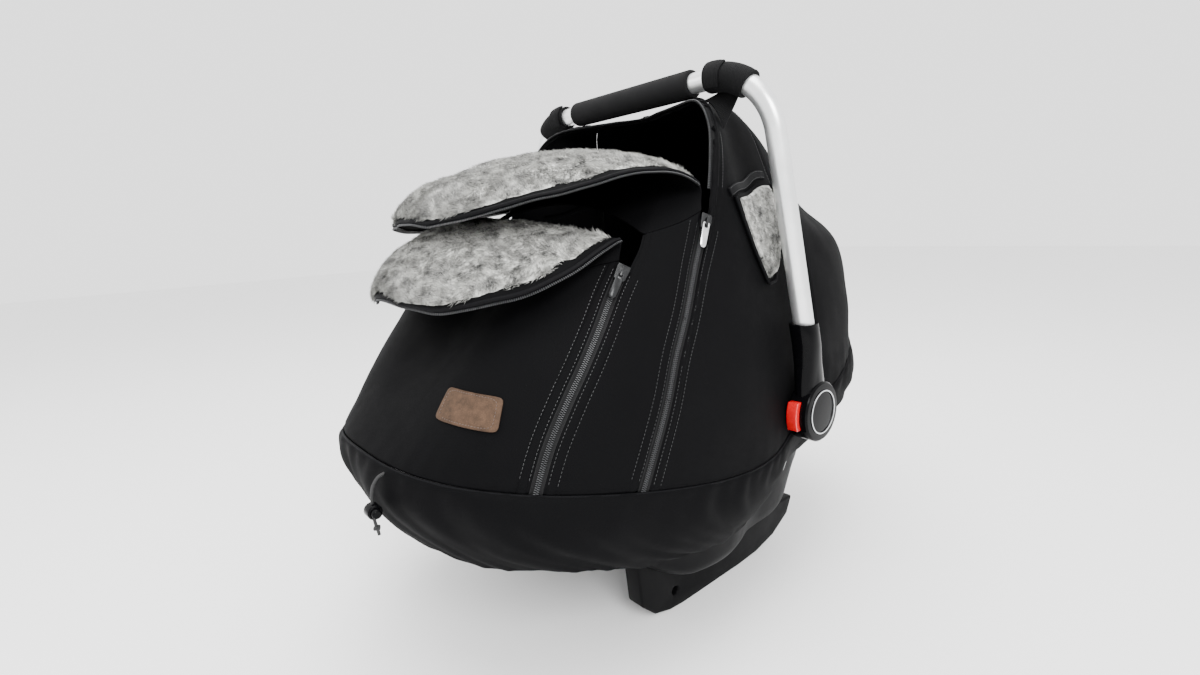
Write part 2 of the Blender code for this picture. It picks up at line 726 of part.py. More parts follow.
class ZipFrame:
    """A place on a zip, with its own directions down the zip, across it and out from it."""

    def __init__(self, table, below_top):
        path = through(table, np.linspace(1, 0, ZIP_PATH_STEPS))
        points = skin(path[:, 0], path[:, 1])
        lengths = np.concatenate([[0], np.cumsum(np.linalg.norm(np.diff(points, axis=0), axis=1))])

        def at(distance):
            return np.array([np.interp(distance, lengths, points[:, axis]) for axis in range(3)])

        turn = np.interp(below_top, lengths, path[:, 0])
        rise = np.interp(below_top, lengths, path[:, 1])
        self.place = at(below_top)
        self.down = unit(at(below_top + SLIDER_HALF_LENGTH) - at(below_top - SLIDER_HALF_LENGTH))
        normal = skin_slopes(turn, rise)[2]
        self.out = unit(normal - normal.dot(self.down) * self.down)
        self.across = np.cross(self.out, self.down)
        self.later = (at(below_top + SLIDER_TRAVEL / 2), at(below_top + SLIDER_TRAVEL))

    def points(self, local, side):
        """World points of local ones, given down, across and out."""
        local = np.asarray(local, float)
        axes = np.stack([self.down, self.across, self.out])
        return mirrored(self.place + local @ axes, side)

    def arc(self, side):
        """Centre and axis of the circle that the zip follows from here down, positive down the zip."""
        first, second, third = (mirrored(point, side) for point in (self.place, *self.later))
        one, two = second - first, third - first
        plane = np.cross(one, two)
        middle = (
            np.cross(plane, one) * two.dot(two) + np.cross(two, plane) * one.dot(one)
        ) / (2 * plane.dot(plane))
        centre = first + middle
        axis = unit(plane)
        if np.cross(axis, first - centre).dot(one) < 0:
            axis = -axis
        return centre, axis, np.linalg.norm(middle)


SLIDER_HALF_LENGTH = 0.0080
SLIDER_TRAVEL = 0.040
SLIDER_BELOW_TOP = 0.0110
SLIDER_LIP_FOOT = 0.0009
SLIDER_UNDERSIDE = 0.0019
SLIDER_TOP = 0.0032
SLIDER_LIP_WIDTH = 0.0016
SLIDER_STATIONS = ((-1.0, 0.0060), (-0.6, 0.0064), (0.7, 0.0056), (1.0, 0.0050))
BRIDGE_TOP = 0.0060
BRIDGE_UNDERSIDE = 0.0048
BRIDGE_OUTER = 0.0050
BRIDGE_INNER = 0.0034
BRIDGE_HALF_WIDTH = 0.0012
PULLER_PIVOT = (0.00215, 0.0, 0.0040)
PULLER_HALF_THICKNESS = 0.0005
PULLER_OUTLINE = (
    (0.0016, -0.0030),
    (0.0016, 0.0030),
    (0.0026, 0.0038),
    (0.0120, 0.0036),
    (0.0255, 0.0034),
    (0.0280, 0.0016),
    (0.0280, -0.0016),
    (0.0255, -0.0034),
    (0.0120, -0.0036),
    (0.0026, -0.0038),
)
PULLER_WINDOW = (
    (0.0027, -0.0012),
    (0.0027, 0.0012),
    (0.0032, 0.0019),
    (0.0068, 0.0019),
    (0.0075, 0.0013),
    (0.0075, 0.0005),
    (0.0075, -0.0005),
    (0.0075, -0.0013),
    (0.0068, -0.0019),
    (0.0032, -0.0019),
)


def slider_rings():
    """Cross-sections of the slider's channel that straddles the chain."""
    rings = []
    for share, half_width in SLIDER_STATIONS:
        inner = half_width - SLIDER_LIP_WIDTH
        section = [
            (-half_width, SLIDER_LIP_FOOT),
            (-half_width, SLIDER_TOP),
            (half_width, SLIDER_TOP),
            (half_width, SLIDER_LIP_FOOT),
            (inner, SLIDER_LIP_FOOT),
            (inner, SLIDER_UNDERSIDE),
            (-inner, SLIDER_UNDERSIDE),
            (-inner, SLIDER_LIP_FOOT),
        ]
        rings.append([(share * SLIDER_HALF_LENGTH, across, out) for across, out in section])
    return np.array(rings)


def bridge_rings():
    """The arch on the slider that holds its puller."""
    foot = (SLIDER_UNDERSIDE + SLIDER_TOP) / 2
    outline = [
        (-BRIDGE_OUTER, foot),
        (-BRIDGE_OUTER, BRIDGE_TOP),
        (BRIDGE_OUTER, BRIDGE_TOP),
        (BRIDGE_OUTER, foot),
        (BRIDGE_INNER, foot),
        (BRIDGE_INNER, BRIDGE_UNDERSIDE),
        (-BRIDGE_INNER, BRIDGE_UNDERSIDE),
        (-BRIDGE_INNER, foot),
    ]
    halves = (-BRIDGE_HALF_WIDTH, BRIDGE_HALF_WIDTH)
    return np.array([[(down, across, out) for down, out in outline] for across in halves])


def puller_rings():
    """Four loops round the puller: its outer edge and its window, below and above."""
    low = PULLER_PIVOT[2] - PULLER_HALF_THICKNESS
    high = PULLER_PIVOT[2] + PULLER_HALF_THICKNESS
    return np.array(
        [
            [(down, across, low) for down, across in PULLER_OUTLINE],
            [(down, across, high) for down, across in PULLER_OUTLINE],
            [(down, across, high) for down, across in PULLER_WINDOW],
            [(down, across, low) for down, across in PULLER_WINDOW],
        ]
    )


def sliders():
    """Zip sliders on the arcs that their zips follow, each with its puller hinged under the bridge."""
    for label, table, finish in (("outer", OUTER_ZIP, "puller"), ("inner", INNER_ZIP, "dark_puller")):
        frame = ZipFrame(table, SLIDER_BELOW_TOP)
        for side, suffix in ((1, "r"), (-1, "l")):
            centre, axis, _ = frame.arc(side)
            run = add_axis(f"{label}_slider_{suffix}_axis", centre, axis)
            body = add_piece(
                f"{label}_slider_{suffix}", *loft(frame.points(slider_rings(), side)), "dark_puller", run
            )
            bridge = add_piece(
                f"{label}_bridge_{suffix}", *loft(frame.points(bridge_rings(), side)), "dark_puller", run
            )
            fuse(body, bridge)
            pivot = frame.points(PULLER_PIVOT, side)
            swing = add_axis(
                f"{label}_puller_{suffix}_axis", pivot, -side * mirrored(frame.across, side), run
            )
            rings = frame.points(puller_rings(), side)
            add_piece(f"{label}_puller_{suffix}", *loft(rings, closed=True), finish, swing)


FLAP_ROWS = 13
FLAP_COLUMNS = 15
FLAP_EDGE_CURVE = 2.2
FLAP_ROOT_GAP = 0.0006
# Rows of the peeled flaps: half width as a share of the rim's, then the places of edge and centre as
# shares of the way to the foot end and up the hood
UPPER_FLAP_SHARES = (
    (0.7719, -0.1188, 0.7033, -0.0841, 0.8279),
    (0.7544, -0.2174, 0.7418, -0.1594, 0.8843),
    (0.7281, -0.3565, 0.7418, -0.3188, 0.8813),
    (0.6667, -0.5014, 0.7033, -0.4841, 0.8427),
    (0.5526, -0.6290, 0.6706, -0.6232, 0.7834),
    (0.3860, -0.7188, 0.6499, -0.7275, 0.7151),
    (0.1491, -0.7739, 0.6350, -0.7855, 0.6439),
)
LOWER_FLAP_SHARES = (
    (0.7368, -0.4203, 0.5579, -0.4667, 0.5757),
    (0.7281, -0.4841, 0.5371, -0.5130, 0.6172),
    (0.6886, -0.5826, 0.4837, -0.6000, 0.6202),
    (0.6140, -0.6638, 0.4481, -0.6928, 0.5935),
    (0.4912, -0.7449, 0.4214, -0.7797, 0.5490),
    (0.3246, -0.8203, 0.4036, -0.8464, 0.4896),
    (0.1228, -0.8696, 0.4184, -0.8841, 0.4362),
)


def hood_place(forward, upward):
    """Place and height at shares of the way from the foot end and up from the seam."""
    return RIM_CENTRE_Y + RIM_FRONT * forward, SEAM_FRONT_Z + (APEX_Z - SEAM_FRONT_Z) * upward


def flap_surface(table, root):
    """Grid of points of a peeled flap: a root row, then rows given by half width, edge and centre."""
    across = np.linspace(-1, 1, FLAP_COLUMNS)
    bow = np.abs(across) ** FLAP_EDGE_CURVE
    rows = [root]
    for width_share, edge_y, edge_z, centre_y, centre_z in table:
        forward = centre_y + (edge_y - centre_y) * bow
        upward = centre_z + (edge_z - centre_z) * bow
        rows.append(np.stack([RIM_HALF_WIDTH * width_share * across, *hood_place(forward, upward)], -1))
    return through(np.array(rows), np.linspace(0, 1, FLAP_ROWS)).transpose(1, 0, 2)


def surface_normals(grid):
    """Unit normals of a grid of points."""
    across = np.gradient(grid, axis=0)
    along = np.gradient(grid, axis=1)
    return unit(np.cross(across, along))


LINING_SIDE_INSET_SHARE = 0.42
LINING_TIP_INSET_SHARE = 0.30
LINING_ROOT_INSET_SHARE = 0.45
LINING_GAP = 0.0012
LINING_EDGE_SHARE = 0.30
LINING_ROLL_POWER = 8
FLAP_TAPE_WIDTH = 0.0095
FLAP_TAPE_THICKNESS = 0.0030
FLAP_TAPE_START = 2
ROOT_TAPER_SHARE = 0.5


def inset_grid(grid, side, root, tip):
    """The grid with its border rows moved in by shares of the first step."""
    inside = grid.copy()
    inside[0] += (grid[1] - grid[0]) * side
    inside[-1] += (grid[-2] - grid[-1]) * side
    middle = inside.copy()
    inside[:, 0] += (middle[:, 1] - middle[:, 0]) * root
    inside[:, -1] += (middle[:, -2] - middle[:, -1]) * tip
    return inside


def flap(label, table, root, axis, up_sign):
    """A peeled flap: cloth below, fleece above and zip tape round its free edge."""
    surface = flap_surface(table, root)
    normals = surface_normals(surface) * up_sign
    thickness = np.full(surface.shape[:2], FLAP_THICKNESS)
    thickness[:, 0] *= ROOT_TAPER_SHARE
    cloth = slab(surface, surface - normals * thickness[..., None], split=True)
    add_piece(f"{label}_flap", *cloth, "softshell", axis)
    inside = inset_grid(surface[:, 2:], LINING_SIDE_INSET_SHARE, LINING_ROOT_INSET_SHARE, LINING_TIP_INSET_SHARE)
    inside_normals = normals[:, 2:]
    across = np.abs(np.linspace(-1, 1, inside.shape[0]))[:, None]
    along = np.abs(np.linspace(-1, 1, inside.shape[1]))[None]
    crown = 1 - (1 - LINING_EDGE_SHARE) * np.maximum(across, along) ** LINING_ROLL_POWER
    bottom = inside + inside_normals * LINING_GAP
    top = bottom + inside_normals * (FLEECE_THICKNESS * crown)[..., None]
    add_piece(f"{label}_flap_lining", *slab(top, bottom, split=True), "lining", axis)
    edge = [surface[-1, j] for j in range(FLAP_TAPE_START, FLAP_ROWS)]
    edge_normals = [normals[-1, j] for j in range(FLAP_TAPE_START, FLAP_ROWS)]
    for i in range(FLAP_COLUMNS - 3, 1, -2):
        edge.append(surface[i, -1])
        edge_normals.append(normals[i, -1])
    for j in range(FLAP_ROWS - 1, FLAP_TAPE_START - 1, -1):
        edge.append(surface[0, j])
        edge_normals.append(normals[0, j])
    gap = 2 * TOUCH_GAP
    section = [
        (gap, -FLAP_TAPE_THICKNESS),
        (gap + FLAP_TAPE_WIDTH, -FLAP_TAPE_THICKNESS),
        (gap + FLAP_TAPE_WIDTH, 0.0),
        (gap, 0.0),
    ]
    section = np.array(section) * np.array([-up_sign, 1.0])
    add_piece(f"{label}_flap_tape", *loft(sweep_rings(edge, edge_normals, section)), "tape", axis)


UPPER_ROOT_STRIP_SHARE = 0.72
UPPER_ROOT_SHARES = (-0.2638, 0.6795)


def flap_roots():
    """The rows of points where the upper and the lower flap leave their panels."""
    inner, outer = strip_edges()
    lift = FLAP_ROOT_GAP
    across = np.linspace(-1, 1, FLAP_COLUMNS)
    inner_corner = skin(*inner[-1])
    centre_y, centre_z = hood_place(*UPPER_ROOT_SHARES)
    upper = []
    for share in across:
        size = abs(share)
        if size >= UPPER_ROOT_STRIP_SHARE:
            along = (size - UPPER_ROOT_STRIP_SHARE) / (1 - UPPER_ROOT_STRIP_SHARE)
            turn, rise = inner[-1] + (outer[-1] - inner[-1]) * along
            point = skin(turn, rise)
        else:
            inward = 1 - (size / UPPER_ROOT_STRIP_SHARE) ** 2
            point = np.array(
                [
                    inner_corner[0] * size / UPPER_ROOT_STRIP_SHARE,
                    inner_corner[1] + (centre_y - inner_corner[1]) * inward,
                    inner_corner[2] + (centre_z - inner_corner[2]) * inward,
                ]
            )
        upper.append([math.copysign(point[0], share) if size else 0.0, point[1], point[2] + lift])
    front = beside(inner_zip_path(), ZIP_HALF_CHANNEL)[-1]
    lower = skin(across * front[0], np.full(FLAP_COLUMNS, front[1]))
    lower[:, 2] += lift
    return np.array(upper), lower


def flaps():
    """Both peeled flaps on their fold lines."""
    upper, lower = flap_roots()
    for label, table, root in (("upper", UPPER_FLAP_SHARES, upper), ("lower", LOWER_FLAP_SHARES, lower)):
        fold = root[0] * np.array([0.0, 1.0, 1.0])
        axis = add_axis(f"{label}_flap_axis", fold, (-1, 0, 0))
        flap(label, table, root, axis, -1)


VENT_FLAP_ROOT_RISE = 36.9
VENT_FLAP_TIP_RISE = 26.2
VENT_FLAP_FRONT_TURNS = (95.0, 97.5, 100.0, 102.5, 105.2)
VENT_FLAP_REAR_TURNS = (121.0, 119.5, 116.5, 112.5, 108.6)
VENT_FLAP_COLUMNS = 7
VENT_FLAP_ROWS = 7
VENT_FLAP_LIFT = 0.0006
VENT_LINING_INSET_SHARE = 0.08
VENT_LINING_THICKNESS = 0.0050
VENT_BINDING_RISES = (40.7, 41.9)
VENT_BINDING_THICKNESS = 0.0016


def vent_flaps():
    """The fleece-lined flaps hanging below the vent slots, and the binding above each slot."""
    down = np.linspace(0, 1, VENT_FLAP_ROWS)
    front = through(np.array(VENT_FLAP_FRONT_TURNS), down)
    rear = through(np.array(VENT_FLAP_REAR_TURNS), down)
    rises = VENT_FLAP_ROOT_RISE + (VENT_FLAP_TIP_RISE - VENT_FLAP_ROOT_RISE) * down
    for side, suffix in ((1, "r"), (-1, "l")):
        ends = [off_skin(side * turn, VENT_FLAP_ROOT_RISE, np.array(VENT_FLAP_LIFT)) for turn in VENT_TURNS]
        axis = add_axis(f"vent_flap_{suffix}_axis", (ends[0] + ends[1]) / 2, side * (ends[0] - ends[1]))
        for name, finish, inset, low, high in (
            (f"vent_flap_{suffix}", "softshell", 0.0, VENT_FLAP_LIFT, VENT_FLAP_LIFT + FLAP_THICKNESS),
            (
                f"vent_flap_lining_{suffix}",
                "lining",
                VENT_LINING_INSET_SHARE,
                VENT_FLAP_LIFT + FLAP_THICKNESS + TOUCH_GAP,
                VENT_FLAP_LIFT + FLAP_THICKNESS + TOUCH_GAP + VENT_LINING_THICKNESS,
            ),
        ):
            across = np.linspace(inset, 1 - inset, VENT_FLAP_COLUMNS)[:, None]
            turns = front[None] + (rear - front)[None] * across
            place = rises[0] + (rises - rises[0]) * (1 - inset) - inset
            grid_rises = np.broadcast_to(place[None], turns.shape)
            outer = off_skin(side * turns, grid_rises, np.full(turns.shape, high))
            inner = off_skin(side * turns, grid_rises, np.full(turns.shape, low))
            add_piece(name, *slab(outer, inner), finish, axis)
        turns, rises_grid = np.meshgrid(
            np.linspace(*VENT_TURNS, VENT_FLAP_COLUMNS), np.array(VENT_BINDING_RISES), indexing="ij"
        )
        outer = off_skin(side * turns, rises_grid, np.full(turns.shape, TOUCH_GAP + VENT_BINDING_THICKNESS))
        inner = off_skin(side * turns, rises_grid, np.full(turns.shape, TOUCH_GAP))
        add_piece(f"vent_binding_{suffix}", *slab(outer, inner), "tape")


PATCH_TURNS = (15.5, 28.0)
PATCH_RISES = (8.0, 13.0)
PATCH_THICKNESS = 0.0020


def patch():
    """The bare stitched patch on the front panel."""
    turns, rises = np.meshgrid(np.linspace(*PATCH_TURNS, 6), np.linspace(*PATCH_RISES, 4), indexing="ij")
    outer = off_skin(turns, rises, np.full(turns.shape, TOUCH_GAP + PATCH_THICKNESS))
    inner = off_skin(turns, rises, np.full(turns.shape, TOUCH_GAP))
    add_piece("patch", *slab(outer, inner), "patch")


SHELL_COLUMNS = 36
SHELL_RISE_TURNS = (50.0, 90.0)
SHELL_REAR_TURNS = (110.0, 170.0)
SHELL_REAR_SHARE = 0.5
SHELL_RIM_DROP = 0.004
SHELL_FOOT_INSET = 0.010
SHELL_NOSE_TURNS = (25.0, 75.0)
SHELL_CURVE_TURNS = (40.0, 95.0)
SHELL_BACK_TURNS = (100.0, 170.0)
SHELL_BACK_SHARE = 1.0
SHELL_LEVEL_SHARES = ((0.0, 1.0), (0.025, 0.35), (0.08, 0.0), (0.3, 0.0), (0.55, 0.0), (0.8, 0.0), (1.0, 0.0))
PAD_LEVEL_SHARES = ((0.0, 1.0), (0.08, 0.0), (0.3, 0.0), (0.55, 0.0))
BOTTOM_SHARE = 1.0
PAD_GAP = 0.0025


def turn_share(turn, turns):
    """How far a place round the seat has come from the first turn to the last, with flat ends."""
    first, last = turns
    return ease((np.abs(turn) - first) / (last - first))


def shell_rim(turn):
    """Height of the shell's rim: above the seam at the sides, just below it at the foot."""
    rise = turn_share(turn, SHELL_RISE_TURNS) * (1 - SHELL_REAR_SHARE * turn_share(turn, SHELL_REAR_TURNS))
    return seam_height(turn) - SHELL_RIM_DROP + SHELL_RISE * rise


def shell_bottom(turn):
    """Height of the shell's bottom, which rises towards the foot end."""
    return SHELL_BOTTOM_Z + SHELL_NOSE_LIFT * (1 - turn_share(turn, SHELL_NOSE_TURNS))


def shell_points(turn, level, foot_share, depth, floor):
    """Points of the shell's wall at a level from its bottom to its rim, a depth in from its outer face."""
    bottom = shell_bottom(turn)
    height = bottom + (shell_rim(turn) - bottom) * level
    below = np.maximum(seam_height(turn) - height, 0)
    curve = turn_share(turn, SHELL_CURVE_TURNS) * (1 - SHELL_BACK_SHARE * turn_share(turn, SHELL_BACK_TURNS))
    flare = SHELL_FLARE_SHARE * below / (1 + curve * below / SHELL_FLARE_DEPTH)
    reach = rim_reach(turn) * hub_tuck(turn, 1.0) - SHELL_INSET - flare
    reach = reach - SHELL_FOOT_INSET * foot_share - depth
    angle = np.radians(turn)
    height = np.maximum(height, bottom + floor)
    return np.stack([reach * np.sin(angle), RIM_CENTRE_Y - reach * np.cos(angle), height], -1)


def shell():
    """The carrier's moulded bucket with a flat bottom."""
    turns = wrapped_turns(SHELL_COLUMNS)
    rings = [shell_points(turns, level, foot, 0.0, 0.0) for level, foot in SHELL_LEVEL_SHARES]
    inner_levels = [pair for pair in SHELL_LEVEL_SHARES if pair[1] == 0]
    for level, foot in reversed(inner_levels):
        rings.append(shell_points(turns, level, foot, SHELL_WALL, SHELL_WALL))
    rings.append(shell_points(turns, 0.0, BOTTOM_SHARE, SHELL_WALL * 2, SHELL_WALL))
    piece = add_piece("carrier_shell", *loft(rings, laddered=True), "shell")
    for side, suffix in ((1, "r"), (-1, "l")):
        cut(piece, hub_hole_cutter(f"shell_cut_{suffix}", side, PIN_RADIUS + PIN_CLEARANCE))
    return piece


def seat_pad():
    """The padded liner that fills the shell."""
    turns = wrapped_turns(SHELL_COLUMNS)
    outer_depth = SHELL_WALL + PAD_GAP
    inner_depth = outer_depth + PAD_THICKNESS
    floor = SHELL_WALL + PAD_GAP
    rings = [
        shell_points(turns, level, foot, outer_depth + (SHELL_WALL if level == 0 else 0.0), floor)
        for level, foot in PAD_LEVEL_SHARES
    ]
    for level, foot in reversed(PAD_LEVEL_SHARES[1:]):
        rings.append(shell_points(turns, level, foot, inner_depth, floor + PAD_THICKNESS))
    rings.append(shell_points(turns, 0.0, BOTTOM_SHARE, inner_depth * 2, floor + PAD_THICKNESS))
    add_piece("seat_pad", *loft(rings, laddered=True), "liner")


RUNNER_OUTLINE_SHARES = ((0.0, 1.0), (0.06, 0.52), (0.36, 0.16), (0.72, 0.03), (1.0, 0.0))
RUNNER_TAIL_SHARES = ((1.0, 0.0), (0.75, 0.03), (0.4, 0.20), (0.1, 0.56), (0.0, 1.0))
RUNNER_HOLE_PLACE_SHARE = 0.42
RUNNER_HOLE_SIDES = 12
RUNNER_RISE_SHARE = 0.45


def runners():
    """The two rocker runners under the shell, each with a hole through its nose."""
    top = SHELL_BOTTOM_Z - TOUCH_GAP
    turns = wrapped_turns(SHELL_COLUMNS)
    rising = turns[(turns > 0) & (turns < SHELL_NOSE_TURNS[1] + FULL_TURN / SHELL_COLUMNS)]
    ridge = shell_points(rising, 0.0, BOTTOM_SHARE, 0.0, 0.0)[:, 1:]
    ridge[:, 1] = top + (ridge[:, 1] - SHELL_BOTTOM_Z) * RUNNER_RISE_SHARE
    outline = [(y, z) for y, z in ridge[::-1] if y > RUNNER_NOSE_Y]
    outline.append((RUNNER_NOSE_Y, np.interp(RUNNER_NOSE_Y, ridge[:, 0], ridge[:, 1])))
    for along, up in RUNNER_OUTLINE_SHARES:
        outline.append((RUNNER_NOSE_Y + (RUNNER_FLAT_FRONT_Y - RUNNER_NOSE_Y) * along, top * up))
    for along, up in RUNNER_TAIL_SHARES:
        outline.append((RUNNER_TAIL_Y + (RUNNER_FLAT_REAR_Y - RUNNER_TAIL_Y) * along, top * up))
    hole_y = RUNNER_NOSE_Y + (RUNNER_FLAT_FRONT_Y - RUNNER_NOSE_Y) * RUNNER_HOLE_PLACE_SHARE * 2
    hole = (hole_y, top * RUNNER_HOLE_PLACE_SHARE)
    for side, suffix in ((1, "r"), (-1, "l")):
        middle = side * RUNNER_MIDDLE_X
        halves = (middle - RUNNER_WIDTH / 2, middle + RUNNER_WIDTH / 2)
        rings = [[(x, y, z) for y, z in outline] for x in halves]
        piece = add_piece(f"runner_{suffix}", *loft(rings), "shell")
        profile = ((RUNNER_HOLE_RADIUS, -RUNNER_WIDTH), (RUNNER_HOLE_RADIUS, RUNNER_WIDTH))
        cutter = add_piece(
            f"runner_hole_{suffix}", *turned(profile, (middle, *hole), (1, 0, 0), RUNNER_HOLE_SIDES), "shell"
        )
        cut(piece, cutter)


LABEL_FACET_TURNS = (120.0, 130.0)
LABEL_LEVEL_SHARES = (0.30, 0.55)
LABEL_ACROSS_SHARES = (0.10, 0.92)
LABEL_UP_SHARES = (0.06, 0.94)
LABEL_THICKNESS = 0.0012
LABEL_GAP = 0.0007


def label_plate():
    """The bare plate on one flat of the shell, low on each side of its widest part."""
    turns = np.array(LABEL_FACET_TURNS)
    low, high = (shell_points(turns, level, 0.0, 0.0, 0.0) for level in LABEL_LEVEL_SHARES)
    out = unit(np.cross(low[1] - low[0], high[0] - low[0]))
    grid = []
    for across in LABEL_ACROSS_SHARES:
        bottom, top = (edge[0] + (edge[1] - edge[0]) * across for edge in (low, high))
        grid.append([bottom + (top - bottom) * up for up in LABEL_UP_SHARES])
    inner = np.array(grid) + out * LABEL_GAP
    add_piece("label_plate", *slab(inner + out * LABEL_THICKNESS, inner), "label")


PIN_HEAD_RADIUS = 0.0120
PIN_SIDES = 20
PIN_HEAD_THICKNESS = 0.0035
PIN_IN_SHELL = 0.0265
PIN_IN_HUB = 0.0115
PIN_HEAD_INNER_X = HUB_INNER_X - PIN_IN_SHELL
PIN_END_X = HUB_INNER_X + PIN_IN_HUB


def pivot_pins():
    """Pins on which the handle's hubs turn, headed inside the shell."""
    profile = (
        (PIN_HEAD_RADIUS, 0.0),
        (PIN_HEAD_RADIUS, PIN_HEAD_THICKNESS),
        (PIN_RADIUS, PIN_HEAD_THICKNESS),
        (PIN_RADIUS, PIN_END_X - PIN_HEAD_INNER_X),
    )
    for side, suffix in ((1, "r"), (-1, "l")):
        points, faces = turned(profile, (PIN_HEAD_INNER_X, HUB_Y, HUB_Z), (1, 0, 0), PIN_SIDES)
        add_piece(f"pivot_pin_{suffix}", mirrored(points, side), faces, "steel")


def leg_y(height):
    """How far the handle leans forward at a height."""
    return HUB_Y + (BAR_Y - HUB_Y) * (height - HUB_Z) / (BAR_Z - HUB_Z)


def handle_normal():
    """The direction square to the handle's plane, towards the head end."""
    return unit(np.array([0.0, BAR_Z - HUB_Z, HUB_Y - BAR_Y]))


CORNER_STEPS = 9


def half_tube_path():
    """Middle line of the tube from the bar's middle out to the near foot."""
    corner = np.array([CORNER_X, BAR_Z])
    foot = np.array([LEG_FOOT_X, TUBE_FOOT_Z])
    down = unit(foot - corner)
    inward = np.array([-1.0, 0.0])
    half_angle = math.acos(float(down.dot(inward))) / 2
    tangent = CORNER_RADIUS / math.tan(half_angle)
    centre = corner + unit(down + inward) * CORNER_RADIUS / math.sin(half_angle)
    start = corner + inward * tangent - centre
    finish = corner + down * tangent - centre
    first = math.atan2(start[1], start[0])
    last = math.atan2(finish[1], finish[0])
    arc = [
        centre + CORNER_RADIUS * np.array([math.cos(angle), math.sin(angle)])
        for angle in np.linspace(first, last, CORNER_STEPS)
    ]
    plane = [np.array([0.0, BAR_Z]), np.array([GRIP_HALF_LENGTH, BAR_Z])] + arc
    plane += [corner + down * (tangent + np.linalg.norm(foot - corner)) / 2, foot]
    return np.array([(x, leg_y(z), z) for x, z in plane])


def along_tube(distances):
    """Points of the tube's middle line at distances from the bar's middle."""
    path = half_tube_path()
    lengths = np.concatenate([[0], np.cumsum(np.linalg.norm(np.diff(path, axis=0), axis=1))])
    return np.stack([np.interp(distances, lengths, path[:, axis]) for axis in range(3)], -1)


HUB_BEVEL = 0.0020
HUB_SIDES = 36
NECK_RINGS = (
    (0.236, 0.0110, 0.0262),
    (0.262, 0.0115, 0.0236),
    (0.285, 0.0125, 0.0192),
    (0.310, 0.0142, 0.0172),
    (0.335, 0.0146, 0.0166),
)
NECK_ROUNDNESS = 2.6
NECK_SIDES = 18
HUB_BORE_DEPTH = 0.0122
RING_OUTER = 0.0270
RING_INNER = 0.0242
RING_HEIGHT = 0.0012
RING_SIDES = 28
SOCKET_SIDES = 16
BUTTON_IN_HUB = 0.0025
BUTTON_WIDTH = 0.0130
BUTTON_INNER_X = HUB_INNER_X + BUTTON_IN_HUB
BUTTON_OUTER_X = BUTTON_INNER_X + BUTTON_WIDTH
BUTTON_HALF_HEIGHT = 0.0170
BUTTON_PROUD = 0.0060
BUTTON_BACK = 0.0220
BUTTON_TRAVEL = 0.0040
BUTTON_CLEARANCE = 0.0004
BUTTON_STEPS = 7


def superellipse(half_x, half_y, roundness, count):
    """A rounded outline of the given half sizes."""
    angles = np.arange(count) * 2 * math.pi / count
    cosine, sine = np.cos(angles), np.sin(angles)
    return np.stack(
        [
            half_x * np.sign(cosine) * np.abs(cosine) ** (2 / roundness),
            half_y * np.sign(sine) * np.abs(sine) ** (2 / roundness),
        ],
        -1,
    )


def leg_x(height):
    """The tube's distance from the middle at a height on the leg."""
    share = (height - TUBE_FOOT_Z) / (BAR_Z - TUBE_FOOT_Z)
    return LEG_FOOT_X + (CORNER_X - LEG_FOOT_X) * share


def button_outline(proud, back, half_height):
    """The release button seen along the hub's axis: an arc round the hub's rim, flat behind."""
    radius = HUB_RADIUS + proud
    heights = np.linspace(-half_height, half_height, BUTTON_STEPS)
    front = [(HUB_Y - math.sqrt(radius**2 - height**2), HUB_Z + height) for height in heights]
    return front + [(HUB_Y - back, HUB_Z + half_height), (HUB_Y - back, HUB_Z - half_height)]


def button_block(name, outline, inner_x, outer_x, side, finish, axis):
    """An outline in the hub's plane, drawn out between two distances from the middle."""
    rings = [[(x, y, z) for y, z in outline] for x in (inner_x, outer_x)]
    return add_piece(name, *loft(mirrored(rings, side)), finish, axis)


